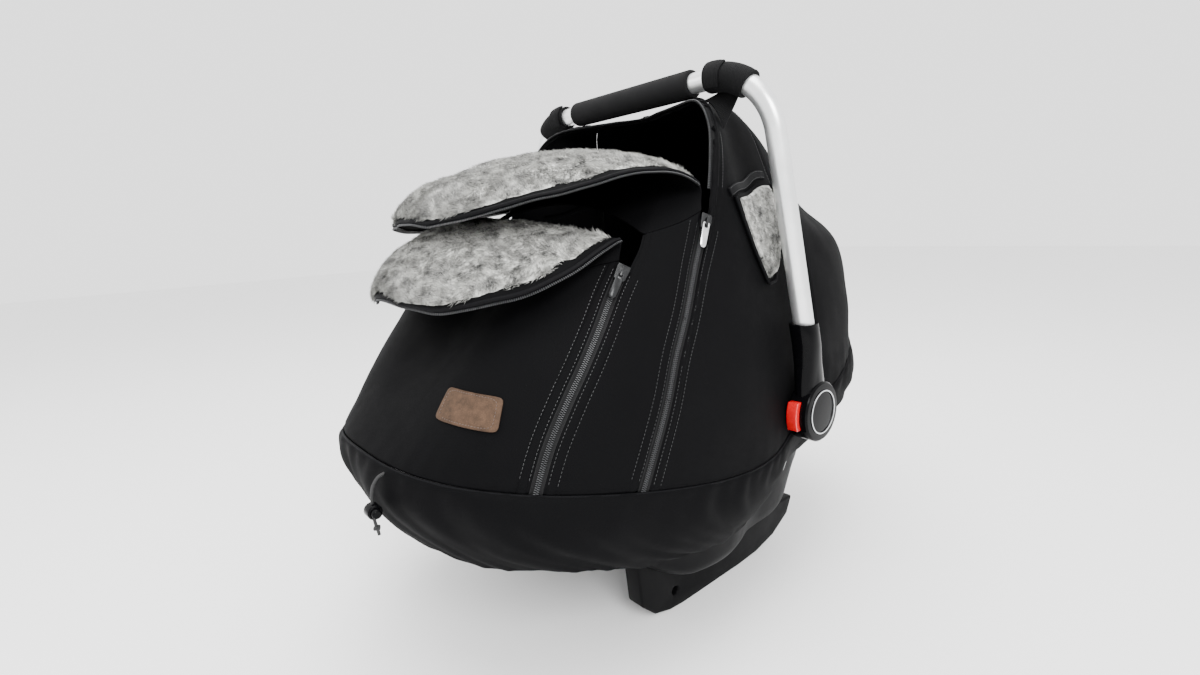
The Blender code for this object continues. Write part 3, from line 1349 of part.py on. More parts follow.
def hubs(axis):
    """Hub and socket mouldings at the handle's feet, with their rings and release buttons."""
    for side, suffix in ((1, "r"), (-1, "l")):
        profile = (
            (HUB_RADIUS - HUB_BEVEL, 0.0),
            (HUB_RADIUS, HUB_BEVEL),
            (HUB_RADIUS, HUB_WIDTH - HUB_BEVEL),
            (HUB_RADIUS - HUB_BEVEL, HUB_WIDTH),
        )
        points, faces = turned(profile, (HUB_INNER_X, HUB_Y, HUB_Z), (1, 0, 0), HUB_SIDES)
        hub = add_piece(f"handle_hub_{suffix}", mirrored(points, side), faces, "gloss", axis)
        rings = []
        for height, half_x, half_y in NECK_RINGS:
            outline = superellipse(half_x, half_y, NECK_ROUNDNESS, NECK_SIDES)
            middle = (leg_x(max(height, TUBE_FOOT_Z)), leg_y(height))
            rings.append([(middle[0] + x, middle[1] + y, height) for x, y in outline])
        neck = add_piece(f"neck_{suffix}", *loft(mirrored(rings, side)), "gloss", axis)
        fuse(hub, neck)
        bore = PIN_RADIUS + PIN_CLEARANCE
        points, faces = turned(
            ((bore, -HUB_WIDTH), (bore, HUB_BORE_DEPTH)), (HUB_INNER_X, HUB_Y, HUB_Z), (1, 0, 0), PIN_SIDES
        )
        cut(hub, add_piece(f"hub_bore_{suffix}", mirrored(points, side), faces, "gloss", axis))
        pocket = button_outline(
            BUTTON_PROUD + HUB_BEVEL,
            BUTTON_BACK - BUTTON_TRAVEL - BUTTON_CLEARANCE,
            BUTTON_HALF_HEIGHT + BUTTON_CLEARANCE,
        )
        cut(
            hub,
            button_block(
                f"button_pocket_{suffix}",
                pocket,
                BUTTON_INNER_X - BUTTON_CLEARANCE,
                BUTTON_OUTER_X + BUTTON_CLEARANCE,
                side,
                "gloss",
                axis,
            ),
        )
        foot = np.array([leg_x(TUBE_FOOT_Z), leg_y(TUBE_FOOT_Z), TUBE_FOOT_Z])
        above = np.array([leg_x(SOCKET_TOP_Z), leg_y(SOCKET_TOP_Z), SOCKET_TOP_Z])
        radius = TUBE_RADIUS + TUBE_BORE_CLEARANCE
        points, faces = turned(
            ((radius, -TOUCH_GAP), (radius, 2 * (SOCKET_TOP_Z - TUBE_FOOT_Z))), foot, above - foot, SOCKET_SIDES
        )
        cut(hub, add_piece(f"socket_bore_{suffix}", mirrored(points, side), faces, "gloss", axis))
        face_x = HUB_OUTER_X + TOUCH_GAP
        angles = ((RING_INNER, 0.0), (RING_OUTER, 0.0), (RING_OUTER, RING_HEIGHT), (RING_INNER, RING_HEIGHT))
        rings = turned(angles, (face_x, HUB_Y, HUB_Z), (1, 0, 0), RING_SIDES)[0].reshape(4, RING_SIDES, 3)
        add_piece(f"hub_ring_{suffix}", *loft(mirrored(rings, side), closed=True), "chrome", axis)
        middle_x = side * (BUTTON_INNER_X + BUTTON_OUTER_X) / 2
        slide = add_axis(f"release_button_{suffix}_axis", (middle_x, HUB_Y - HUB_RADIUS, HUB_Z), (0, 1, 0), axis)
        outline = button_outline(BUTTON_PROUD, BUTTON_BACK, BUTTON_HALF_HEIGHT)
        button_block(f"release_button_{suffix}", outline, BUTTON_INNER_X, BUTTON_OUTER_X, side, "button", slide)


TUBE_SIDES = 14
GRIP_SIDES = 16
GRIP_END_SHARES = (0.0, 0.02, 0.5, 0.98, 1.0)
GRIP_END_RADIUS = 0.0146


def handle(axis):
    """The bent tube and its foam grip."""
    half = half_tube_path()
    path = np.concatenate([mirrored(half[:0:-1], -1), half])
    normals = np.tile(handle_normal(), (len(path), 1))
    rings = sweep_rings(path, normals, round_section(TUBE_RADIUS, TUBE_SIDES))
    add_piece("handle_tube", *loft(rings), "tube", axis)
    ends = np.array([(x, BAR_Y, BAR_Z) for x in (-GRIP_HALF_LENGTH, GRIP_HALF_LENGTH)])
    path = np.array([ends[0] + (ends[1] - ends[0]) * share for share in GRIP_END_SHARES])
    radii = [GRIP_END_RADIUS, GRIP_RADIUS, GRIP_RADIUS, GRIP_RADIUS, GRIP_END_RADIUS]
    outer = np.array([round_section(radius, GRIP_SIDES) for radius in radii])
    inner = round_section(TUBE_RADIUS + 2 * TOUCH_GAP, GRIP_SIDES)
    normals = np.tile(handle_normal(), (len(path), 1))
    add_piece("handle_grip", *sleeve(path, normals, outer, inner), "foam", axis)


STRAP_ALONG = (0.128, 0.182)
STRAP_RINGS = 7
STRAP_SIDES = 14
STRAP_THICKNESS = 0.0034
STRAP_CLEARANCE = 0.0008
TAB_ALONG = (0.1300, 0.1510)
TAB_ANGLES = (195.0, 300.0)
TAB_THICKNESS = 0.0022
STRAP_END_ALONG = (0.140, 0.166)
STRAP_END_ANGLE = 42.0
STRAP_END_THICKNESS = 0.0020
STRAP_END_TURN = 98.0
STRAP_END_RISES = (56.5, 49.0)
STRAP_END_LIFT = 0.0016
STRAP_END_GRID = 4


def tube_frame(distances):
    """Middle, down and rearward directions of the tube at distances from the bar's middle."""
    middle = along_tube(distances)
    step = TUBE_RADIUS / 2
    tangent = unit(along_tube(distances + step) - along_tube(distances - step))
    rear = np.tile(handle_normal(), (len(middle), 1))
    down = np.cross(rear, tangent)
    return middle, down, rear, tangent


def on_tube(distances, angles, radius):
    """Points round the tube: 0 is below, 90 behind, 180 above and 270 in front."""
    middle, down, rear, _ = tube_frame(distances)
    radians = np.radians(angles)
    around_tube = np.cos(radians)[None, :, None] * down[:, None] + np.sin(radians)[None, :, None] * rear[:, None]
    return middle[:, None] + radius * around_tube


def straps(axis):
    """The hook-and-loop straps round the handle's corners, their closing tabs and their ends on the hood."""
    distances = np.linspace(*STRAP_ALONG, STRAP_RINGS)
    middle, _, rear, _ = tube_frame(distances)
    inner_radius = TUBE_RADIUS + STRAP_CLEARANCE
    outer_radius = inner_radius + STRAP_THICKNESS
    for side, suffix in ((1, "r"), (-1, "l")):
        points, faces = sleeve(
            middle, rear, round_section(outer_radius, STRAP_SIDES), round_section(inner_radius, STRAP_SIDES)
        )
        add_piece(f"handle_strap_{suffix}", mirrored(points, side), faces, "elastic", axis)
        along = np.linspace(*TAB_ALONG, 4)
        angles = np.linspace(*TAB_ANGLES, 8)
        low = outer_radius + TOUCH_GAP
        outer = on_tube(along, angles, low + TAB_THICKNESS)
        inner = on_tube(along, angles, low)
        sewn = outer[:, 0].mean(0)
        direction = tube_frame(np.array([np.mean(TAB_ALONG)]))[3][0]
        hinge = add_axis(
            f"strap_tab_{suffix}_axis", mirrored(sewn, side), -side * mirrored(direction, side), axis
        )
        add_piece(
            f"strap_tab_{suffix}", *slab(mirrored(outer, side), mirrored(inner, side)), "elastic", hinge
        )
        along = np.linspace(*STRAP_END_ALONG, STRAP_END_GRID)
        seat = outer_radius + TOUCH_GAP + STRAP_END_THICKNESS / 2
        top = on_tube(along, np.array([STRAP_END_ANGLE]), seat)[:, 0]
        rises = np.linspace(*STRAP_END_RISES, STRAP_END_GRID)
        foot = off_skin(np.full(STRAP_END_GRID, STRAP_END_TURN), rises, np.full(STRAP_END_GRID, STRAP_END_LIFT))
        shares = np.linspace(0, 1, STRAP_END_GRID)[None, :, None]
        sheet = top[:, None] + (foot - top)[:, None] * shares
        normals = surface_normals(sheet)
        half = normals * STRAP_END_THICKNESS / 2
        add_piece(
            f"strap_end_{suffix}",
            *slab(mirrored(sheet + half, side), mirrored(sheet - half, side)),
            "elastic",
            axis,
        )


CORD_RADIUS = 0.0015
CORD_TURN = 9.0
LOCK_RADIUS = 0.0068
LOCK_BEVEL = 0.0014
LOCK_SIDES = 16
LOCK_LENGTH = 0.0130
LOCK_BORE_RADIUS = 0.0050
LOCK_BORE_DEPTH = 0.0085
PLUNGER_LENGTH = 0.0100
PLUNGER_CLEARANCE = 0.0004
PLUNGER_TRAVEL = 0.0030
LOCK_CENTRE = (0.060, -0.4135, 0.2150)
CORD_ROUTE = (
    (0.0600, -0.3967, 0.2468),
    (0.0600, -0.4055, 0.2445),
    (0.0600, -0.4108, 0.2380),
    (0.0600, -0.4130, 0.2300),
    (0.0600, -0.4135, 0.2221),
)
TAIL_ROUTE = (
    (0.0600, -0.4135, 0.2078),
    (0.0597, -0.4128, 0.2020),
    (0.0592, -0.4115, 0.1960),
    (0.0588, -0.4105, 0.1900),
)
CORD_POINTS = 11
CORD_BEVEL_STEPS = 2
KNOT_SWELL_SHARES = (1.0, 1.0, 1.0, 1.0, 1.0, 1.0, 1.6, 2.3, 2.4, 1.7, 0.8)


def cord_curve(name, route, swell_shares=None):
    """A free stretch of drawcord, swollen to a knot where asked."""
    points = through(route, np.linspace(0, 1, CORD_POINTS))
    curve = bpy.data.curves.new(name, "CURVE")
    curve.dimensions = "3D"
    curve.bevel_depth = CORD_RADIUS
    curve.bevel_resolution = CORD_BEVEL_STEPS
    curve.use_fill_caps = True
    spline = curve.splines.new("POLY")
    spline.points.add(CORD_POINTS - 1)
    for index, (knot, point) in enumerate(zip(spline.points, points)):
        knot.co = (*point, 1.0)
        knot.radius = swell_shares[index] if swell_shares else 1.0
    curve.materials.append(finish_material(name, "elastic"))
    cord = bpy.data.objects.new(name, curve)
    bpy.context.collection.objects.link(cord)
    cord.parent = bpy.data.objects["assembly"]


def drawcord():
    """The drawcord's end, its sprung lock and the knotted tail."""
    cord_curve("drawcord", CORD_ROUTE)
    cord_curve("drawcord_tail", TAIL_ROUTE, KNOT_SWELL_SHARES)
    centre = np.array(LOCK_CENTRE)
    start = centre - np.array([LOCK_LENGTH / 2, 0, 0])
    profile = (
        (LOCK_RADIUS - LOCK_BEVEL, 0.0),
        (LOCK_RADIUS, LOCK_BEVEL),
        (LOCK_RADIUS, LOCK_LENGTH - LOCK_BEVEL),
        (LOCK_RADIUS - LOCK_BEVEL, LOCK_LENGTH),
    )
    lock = add_piece("cord_lock", *turned(profile, start, (1, 0, 0), LOCK_SIDES), "gloss")
    bore = ((LOCK_BORE_RADIUS, LOCK_LENGTH - LOCK_BORE_DEPTH), (LOCK_BORE_RADIUS, 2 * LOCK_LENGTH))
    cut(lock, add_piece("lock_bore", *turned(bore, start, (1, 0, 0), 14), "gloss"))
    foot_x = LOCK_LENGTH - LOCK_BORE_DEPTH + PLUNGER_TRAVEL + PLUNGER_CLEARANCE
    axis = add_axis("cord_lock_button_axis", start + np.array([foot_x, 0, 0]), (-1, 0, 0))
    radius = LOCK_BORE_RADIUS - PLUNGER_CLEARANCE
    profile = (
        (radius, foot_x),
        (radius, foot_x + PLUNGER_LENGTH - LOCK_BEVEL),
        (radius - LOCK_BEVEL, foot_x + PLUNGER_LENGTH),
    )
    add_piece("cord_lock_button", *turned(profile, start, (1, 0, 0), 14), "gloss", axis)


def centre_on_base(assembly):
    """Moves the whole so that the middle of its box in plan lies on the origin."""
    bpy.context.view_layer.update()
    graph = bpy.context.evaluated_depsgraph_get()
    corners = []
    for piece in bpy.context.scene.objects:
        if piece.type == "MESH" and not piece.hide_render and piece.name not in CORD_PIECES:
            evaluated = piece.evaluated_get(graph)
            corners += [evaluated.matrix_world @ vertex.co for vertex in evaluated.data.vertices]
    forward = [corner.y for corner in corners]
    assembly.location.y = -(min(forward) + max(forward)) / 2


CORD_PIECES = ("drawcord", "drawcord_tail", "cord_lock", "cord_lock_button")


def main():
    """Clears the scene and builds every piece."""
    for old in list(bpy.data.objects):
        bpy.data.objects.remove(old, do_unlink=True)
    assembly = bpy.data.objects.new("assembly", None)
    bpy.context.collection.objects.link(assembly)
    shell()
    seat_pad()
    runners()
    label_plate()
    pivot_pins()
    front_panel()
    strip_panels()
    side_panels()
    back_panel()
    skirt()
    closed_zips()
    doorway_tape()
    sliders()
    flaps()
    vent_flaps()
    patch()
    handle_axis = add_axis("handle_axis", (0, HUB_Y, HUB_Z), (1, 0, 0))
    handle(handle_axis)
    hubs(handle_axis)
    straps(handle_axis)
    drawcord()
    centre_on_base(assembly)


main()
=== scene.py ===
"""Dressed model of a winter cover drawn over an infant carrier seat, doorway unzipped, flaps peeled forward.

Metres, +Z up, the foot end towards -Y and the near side towards +X. A turn is an angle in degrees round the
seat from the foot end (0) past the near side (90) to the head end (180). A rise runs from the seam between
hood and skirt (0) to the top of the hood (90).
"""

import logging
import math
from contextlib import contextmanager
from dataclasses import dataclass
from enum import Enum
from itertools import product
from typing import Iterable, Iterator, Optional, Sequence

import bmesh
import bpy
import numpy as np
from mathutils import Matrix, Vector, noise


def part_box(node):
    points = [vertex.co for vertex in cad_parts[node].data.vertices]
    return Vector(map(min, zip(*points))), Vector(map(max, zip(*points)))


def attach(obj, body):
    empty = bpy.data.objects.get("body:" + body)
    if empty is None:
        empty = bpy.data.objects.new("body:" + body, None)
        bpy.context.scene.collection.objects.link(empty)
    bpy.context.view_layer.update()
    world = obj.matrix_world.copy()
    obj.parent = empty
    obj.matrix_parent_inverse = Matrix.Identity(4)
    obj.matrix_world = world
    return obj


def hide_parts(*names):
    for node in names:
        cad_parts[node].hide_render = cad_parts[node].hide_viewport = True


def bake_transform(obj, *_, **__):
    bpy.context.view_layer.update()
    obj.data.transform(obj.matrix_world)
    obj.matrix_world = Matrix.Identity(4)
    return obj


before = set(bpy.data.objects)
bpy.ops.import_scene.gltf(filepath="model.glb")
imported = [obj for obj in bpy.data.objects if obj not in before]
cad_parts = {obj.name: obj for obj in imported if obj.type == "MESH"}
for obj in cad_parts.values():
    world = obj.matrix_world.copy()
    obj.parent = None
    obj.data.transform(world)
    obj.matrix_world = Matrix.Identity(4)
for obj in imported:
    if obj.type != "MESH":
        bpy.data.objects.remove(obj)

log = logging.getLogger("winter_cover")
# What a new file starts with would count as part of the object
for default in ("Cube", "Light", "Camera"):
    if bpy.data.objects.get(default):
        bpy.data.objects.remove(bpy.data.objects[default], do_unlink=True)
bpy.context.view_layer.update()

# The solids are centred on their base, which moves every drawn point back by this much
HUB_Y = 0.051
PIN_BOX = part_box("pivot_pin_r")
BASE_SHIFT = (PIN_BOX[0][1] + PIN_BOX[1][1]) / 2 - HUB_Y
MM = 0.001
RIGHT_ANGLE = 90.0
HALF_TURN = 180.0
FULL_TURN = 360.0
PICTURE_WIDTH = 1200.0
SEED = 7
MERGE_DISTANCE = 1e-6
FLAT_DEGREES = 0.6
CAST_EDGE_DEGREES = 35.0


def row(point: Sequence[float]) -> tuple[float, float, float]:
    """A drawn point in the frame of the solids."""
    return (float(point[0]), float(point[1]) + BASE_SHIFT, float(point[2]))


def unit(vectors: np.ndarray) -> np.ndarray:
    """Vectors brought to length 1."""
    vectors = np.asarray(vectors, float)
    return vectors / np.maximum(np.linalg.norm(vectors, axis=-1, keepdims=True), 1e-12)


def ease(share: np.ndarray) -> np.ndarray:
    """A share from 0 to 1 with flat ends."""
    share = np.clip(share, 0, 1)
    return share * share * (3 - 2 * share)


def bell(distance: np.ndarray, width: float) -> np.ndarray:
    """A smooth bump of height 1 about 0."""
    return np.exp(-((np.asarray(distance) / width) ** 2))


def through(table: np.ndarray, share: np.ndarray) -> np.ndarray:
    """Smooth curve through a table's rows.

    Args:
        table: the rows, first to last.
        share: places along it, from 0 to 1.

    Returns:
        One row for each place.
    """
    rows = np.asarray(table, float)
    place = np.clip(np.asarray(share, float), 0, 1) * (len(rows) - 1)
    start = np.minimum(place.astype(int), len(rows) - 2)
    padded = np.concatenate([2 * rows[:1] - rows[1:2], rows, 2 * rows[-1:] - rows[-2:-1]])
    p0, p1, p2, p3 = (padded[start + step] for step in range(4))
    t = (place - start).reshape(place.shape + (1,) * (rows.ndim - 1))
    return 0.5 * (
        2 * p1 + (p2 - p0) * t + (2 * p0 - 5 * p1 + 4 * p2 - p3) * t**2 + (3 * p1 - p0 - 3 * p2 + p3) * t**3
    )


def steps_along(points: np.ndarray, axis: int) -> np.ndarray:
    """Real distances from the first row of a grid of points, measured along one of its axes."""
    gaps = np.linalg.norm(np.diff(points, axis=axis), axis=-1)
    start = np.zeros_like(np.take(gaps, [0], axis=axis))
    return np.concatenate([start, np.cumsum(gaps, axis=axis)], axis=axis)


def read_along(path: np.ndarray, lengths: np.ndarray, places: np.ndarray) -> np.ndarray:
    """Rows of a path read at real distances from its start."""
    return np.stack([np.interp(places, lengths, column) for column in path.T], -1)


def longest_runs(grid: np.ndarray) -> tuple[float, float]:
    """The longest real runs over a grid of points, across and up."""
    return float(steps_along(grid, 0)[-1].max()), float(steps_along(grid, 1)[:, -1].max())


def between_points(grid: np.ndarray, row_places: np.ndarray, column_places: np.ndarray) -> np.ndarray:
    """A grid's values at places between its rows and columns."""
    i, j = row_places.astype(int), column_places.astype(int)
    down, along = (row_places - i)[:, None], (column_places - j)[:, None]
    return (
        grid[i, j] * (1 - down) * (1 - along)
        + grid[i + 1, j] * down * (1 - along)
        + grid[i, j + 1] * (1 - down) * along
        + grid[i + 1, j + 1] * down * along
    )


def crowded(length: float, middle_step: float, edges: Sequence[float]) -> np.ndarray:
    """Places from 0 to 1 across a length, close together at both edges.

    Args:
        length: the real length.
        middle_step: the real step away from the edges.
        edges: real distances from each edge at which a place is wanted.

    Returns:
        The places as shares of the length.
    """
    near = np.array([edge for edge in edges if edge < length * 0.45])
    middle = np.linspace(near[-1], length - near[-1], max(3, int((length - 2 * near[-1]) / middle_step) + 1))
    return np.concatenate([near[:-1], middle, (length - near[:-1])[::-1]]) / length


def soft_noise(points: np.ndarray, size: float, seed: float = 0.0) -> np.ndarray:
    """Smooth noise from -1 to 1 at points, with lumps of a real size."""
    flat = np.asarray(points, float).reshape(-1, 3) / size + seed
    return np.array([noise.noise(Vector(place)) for place in flat]).reshape(points.shape[:-1])


def grid_normals(grid: np.ndarray) -> np.ndarray:
    """Unit normals of a grid of points."""
    return unit(np.cross(np.gradient(grid, axis=0), np.gradient(grid, axis=1)))


# Finishes


class Pattern(Enum):
    """How a surface's fine relief is drawn."""

    WEAVE = "weave"
    RIB = "rib"
    PILE = "pile"
    LEATHER = "leather"
    GRAIN = "grain"
    BRUSHED = "brushed"
    FOAM = "foam"


class Follows(Enum):
    """What the relief follows: the piece's own map in metres, or its place in the object."""

    MAP = "UV"
    PLACE = "Object"


def srgb(colour: str) -> tuple[float, float, float, float]:
    """Linear RGBA of an sRGB hex colour."""
    channels = [int(colour[i : i + 2], 16) / 255 for i in (1, 3, 5)]
    linear = [c / 12.92 if c <= 0.04045 else ((c + 0.055) / 1.055) ** 2.4 for c in channels]
    return (linear[0], linear[1], linear[2], 1.0)


def add_node(
    tree: bpy.types.NodeTree, kind: str, settings: Optional[dict] = None, sockets: Optional[dict] = None
) -> bpy.types.Node:
    """Adds a node with its settings and inputs.

    Args:
        tree: the material's node tree.
        kind: the node's type.
        settings: properties of the node.
        sockets: inputs by name or number, each a value or another node's output.

    Returns:
        The node.
    """
    node = tree.nodes.new(kind)
    for name, value in (settings or {}).items():
        setattr(node, name, value)
    for name, value in (sockets or {}).items():
        if isinstance(value, bpy.types.NodeSocket):
            tree.links.new(value, node.inputs[name])
        else:
            node.inputs[name].default_value = value
    return node


# A wave texture draws its bands this many times wider apart than its scale says
WAVE_SCALE = 0.314


@dataclass(frozen=True)
class Finish:
    """One real surface: what it is made of and what its making leaves to see."""

    name: str
    slot: str
    colour: str
    # The ramp's darker end: random tone, and painted shade where the relief is low
    shade: str
    roughness: float
    pattern: Pattern
    pattern_mm: float
    depth_mm: float
    follows: Follows = Follows.PLACE
    metallic: float = 0.0
    ior: float = 1.5
    specular: float = 0.5
    # Stops of the colour ramp, which mixes random tone with painted shade in the relief's hollows
    clumps: tuple[float, float] = (0.30, 0.85)
    sheen: float = 0.0
    coat: float = 0.0
    mottle_mm: float = 30.0
    roughness_spread: float = 0.08

    def height(self, tree: bpy.types.NodeTree, place: bpy.types.NodeSocket) -> bpy.types.NodeSocket:
        """The relief that a bump reads.

        Args:
            tree: the material's node tree.
            place: coordinates in metres.

        Returns:
            An output that runs from about 0 to 1.
        """
        per_metre = 1 / (self.pattern_mm * MM)
        grit = add_node(
            tree,
            "ShaderNodeTexNoise",
            {"noise_dimensions": "3D"},
            {"Vector": place, "Scale": per_metre, "Detail": 3.0, "Roughness": 0.6},
        ).outputs["Fac"]
        if self.pattern in (Pattern.WEAVE, Pattern.RIB):
            waves = [
                add_node(
                    tree,
                    "ShaderNodeTexWave",
                    {"wave_type": "BANDS", "bands_direction": axis, "wave_profile": "SIN"},
                    {
                        "Vector": place,
                        "Scale": WAVE_SCALE * per_metre,
                        "Distortion": 0.6,
                        "Detail": 1.0,
                        "Detail Scale": 2.0,
                    },
                ).outputs["Fac"]
                for axis in (("X", "Y") if self.pattern is Pattern.WEAVE else ("Y",))
            ]
            crossed = waves[0]
            if len(waves) > 1:
                crossed = add_node(
                    tree, "ShaderNodeMath", {"operation": "MULTIPLY"}, {0: waves[0], 1: waves[1]}
                ).outputs[0]
            return add_node(
                tree, "ShaderNodeMath", {"operation": "MULTIPLY_ADD"}, {0: grit, 1: 0.35, 2: crossed}
            ).outputs[0]
        if self.pattern is Pattern.LEATHER:
            cells = add_node(
                tree,
                "ShaderNodeTexVoronoi",
                {"feature": "DISTANCE_TO_EDGE"},
                {"Vector": place, "Scale": per_metre, "Randomness": 1.0},
            ).outputs["Distance"]
            return add_node(
                tree, "ShaderNodeMath", {"operation": "MULTIPLY_ADD"}, {0: grit, 1: 0.5, 2: cells}
            ).outputs[0]
        if self.pattern is Pattern.BRUSHED:
            stretched = add_node(
                tree, "ShaderNodeMapping", None, {"Vector": place, "Scale": (1.0, 1.0, 0.04)}
            ).outputs["Vector"]
            return add_node(
                tree, "ShaderNodeTexNoise", None, {"Vector": stretched, "Scale": per_metre, "Detail": 4.0}
            ).outputs["Fac"]
        if self.pattern is Pattern.FOAM:
            return add_node(
                tree, "ShaderNodeTexVoronoi", {"feature": "SMOOTH_F1"}, {"Vector": place, "Scale": per_metre}
            ).outputs["Distance"]
        return grit

    def material(self) -> bpy.types.Material:
        """The finish as a material, made once."""
        made = bpy.data.materials.get(self.name)
        if made:
            return made
        made = bpy.data.materials.new(self.name)
        made.use_nodes = True
        tree = made.node_tree
        shader = tree.nodes["Principled BSDF"]
        place = add_node(tree, "ShaderNodeTexCoord").outputs[self.follows.value]
        where = add_node(tree, "ShaderNodeTexCoord").outputs["Object"]
        mottle = add_node(
            tree,
            "ShaderNodeTexNoise",
            None,
            {"Vector": where, "Scale": 1 / (self.mottle_mm * MM), "Detail": 4.0, "Roughness": 0.65},
        ).outputs["Fac"]
        relief = self.height(tree, place)
        # The ramp from the shade colour to the colour follows the relief in part, so the hollows of weave,
        # grain and pores come out darker as painted shade; the mottle adds tone that differs at random
        share = add_node(
            tree,
            "ShaderNodeMath",
            {"operation": "MULTIPLY_ADD", "use_clamp": True},
            {0: relief, 1: 0.35, 2: mottle},
        ).outputs[0]
        colour = add_node(tree, "ShaderNodeValToRGB", None, {"Fac": share})
        colour.color_ramp.elements[0].position = self.clumps[0]
        colour.color_ramp.elements[0].color = srgb(self.shade)
        colour.color_ramp.elements[1].position = self.clumps[1]
        colour.color_ramp.elements[1].color = srgb(self.colour)
        tree.links.new(colour.outputs["Color"], shader.inputs["Base Color"])
        rough = add_node(
            tree,
            "ShaderNodeMapRange",
            None,
            {
                "Value": mottle,
                "From Min": 0.3,
                "From Max": 0.7,
                "To Min": max(self.roughness - self.roughness_spread, 0.02),
                "To Max": min(self.roughness + self.roughness_spread, 1.0),
            },
        ).outputs["Result"]
        tree.links.new(rough, shader.inputs["Roughness"])
        bump = add_node(
            tree, "ShaderNodeBump", None, {"Height": relief, "Strength": 1.0, "Distance": self.depth_mm * MM}
        ).outputs["Normal"]
        tree.links.new(bump, shader.inputs["Normal"])
        shader.inputs["Metallic"].default_value = self.metallic
        if not self.metallic:
            shader.inputs["IOR"].default_value = self.ior
        shader.inputs["Specular IOR Level"].default_value = self.specular
        shader.inputs["Sheen Weight"].default_value = self.sheen
        shader.inputs["Sheen Roughness"].default_value = 0.5
        shader.inputs["Coat Weight"].default_value = self.coat
        shader.inputs["Coat Roughness"].default_value = 0.08
        return made


# Polyester softshell, woven face with a smooth coating: black with a weak silky sheen
SOFTSHELL = Finish(
    "polyester_softshell", "softshell", "#080809", "#040405", 0.70, Pattern.WEAVE, 1.3, 0.09, Follows.MAP,
    ior=1.34, specular=0.07, mottle_mm=60,
)
# Brushed polyester fleece with a long pile that lies in clumps, silver grey, with painted shade darkening the
# partings between clumps
FLEECE = Finish(
    "brushed_plush_fleece", "lining", "#B4B4AF", "#191918", 0.9, Pattern.PILE, 2.2, 0.9,
    sheen=0.12, clumps=(0.47, 0.80), mottle_mm=13,
)
# Woven polyester zip tape, ribbed along its length
ZIP_TAPE = Finish(
    "woven_zip_tape", "tape", "#0B0B0C", "#050506", 0.6, Pattern.RIB, 1.1, 0.16, Follows.MAP,
    ior=1.4, specular=0.2, mottle_mm=20,
)
# Nylon coil, a little glossier than its tape
COIL = Finish("nylon_zip_coil", "tape", "#2B2C2E", "#0F1011", 0.34, Pattern.GRAIN, 0.8, 0.02, mottle_mm=8)
# Corded seam and binding in the cover's own cloth, pressed hard by the stitching
BINDING = Finish(
    "folded_binding_cloth", "tape", "#08080A", "#040405", 0.65, Pattern.WEAVE, 1.2, 0.12,
    ior=1.4, specular=0.1, mottle_mm=15,
)
# Spun polyester sewing thread with a faint lustre
THREAD = Finish(
    "spun_polyester_thread", "softshell", "#1B1C1D", "#101112", 0.42, Pattern.GRAIN, 0.5, 0.02, mottle_mm=5
)
# Ribbed hook-and-loop webbing
WEBBING = Finish(
    "hook_and_loop_webbing", "elastic", "#0C0C0D", "#050506", 0.8, Pattern.RIB, 2.0, 0.45, Follows.MAP,
    ior=1.4, specular=0.15, mottle_mm=9,
)
# Braided elastic cord
BRAID = Finish(
    "braided_elastic_cord", "elastic", "#111112", "#070708", 0.65, Pattern.WEAVE, 1.4, 0.25, mottle_mm=8
)
# Faux leather with a matte brushed face, brown with worn paler patches
FAUX_LEATHER = Finish(
    "brushed_faux_leather", "patch", "#4E3C2F", "#241A12", 0.7, Pattern.LEATHER, 1.4, 0.12,
    specular=0.12, mottle_mm=9, roughness_spread=0.14,
)
# Waxed thread round the patch, in its own brown
PATCH_THREAD = Finish(
    "waxed_patch_thread", "patch", "#4A3A31", "#332720", 0.5, Pattern.GRAIN, 0.5, 0.02, mottle_mm=5
)
# Injection-moulded polypropylene with a fine spark-eroded grain
GRAINED_SHELL = Finish(
    "grained_polypropylene", "shell", "#070708", "#040405", 0.5, Pattern.GRAIN, 0.9, 0.05,
    specular=0.06, mottle_mm=45,
)
# Polished ABS with a clear reflection
GLOSS_ABS = Finish(
    "polished_abs", "gloss", "#060607", "#030304", 0.16, Pattern.GRAIN, 6.0, 0.006,
    specular=0.05, coat=0.02, roughness_spread=0.05, mottle_mm=40,
)
# Knitted polyester over a thin foam
LINER_KNIT = Finish(
    "padded_liner_knit", "liner", "#101011", "#080809", 0.9, Pattern.WEAVE, 2.2, 0.35,
    specular=0.2, mottle_mm=35,
)
# Printed polyester film, left bare
BARE_FILM = Finish(
    "bare_label_film", "label", "#B4B5B5", "#8E8F90", 0.42, Pattern.GRAIN, 1.5, 0.01, mottle_mm=14
)
# Anodised aluminium tube, bead blasted, so its highlight is broad and white
ANODISED = Finish(
    "silver_anodised_aluminium", "tube", "#F1F2F2", "#D6D8D9", 0.34, Pattern.BRUSHED, 0.7, 0.012,
    metallic=0.85, mottle_mm=60, roughness_spread=0.05,
)
# Closed-cell foam sleeve with tiny pores
FOAM_SLEEVE = Finish(
    "closed_cell_foam", "foam", "#0D0D0E", "#070708", 0.85, Pattern.FOAM, 1.1, 0.12,
    specular=0.15, mottle_mm=22,
)
# Tinted ABS button
RED_ABS = Finish(
    "red_moulded_abs", "button", "#C40E16", "#9A0A10", 0.24, Pattern.GRAIN, 4.0, 0.008, coat=0.4, mottle_mm=18
)
# Die-cast zinc with a satin nickel plating
BRIGHT_ZINC = Finish(
    "nickel_plated_zinc", "puller", "#D9DADB", "#A9ABAD", 0.28, Pattern.GRAIN, 1.5, 0.01,
    metallic=1.0, mottle_mm=6,
)
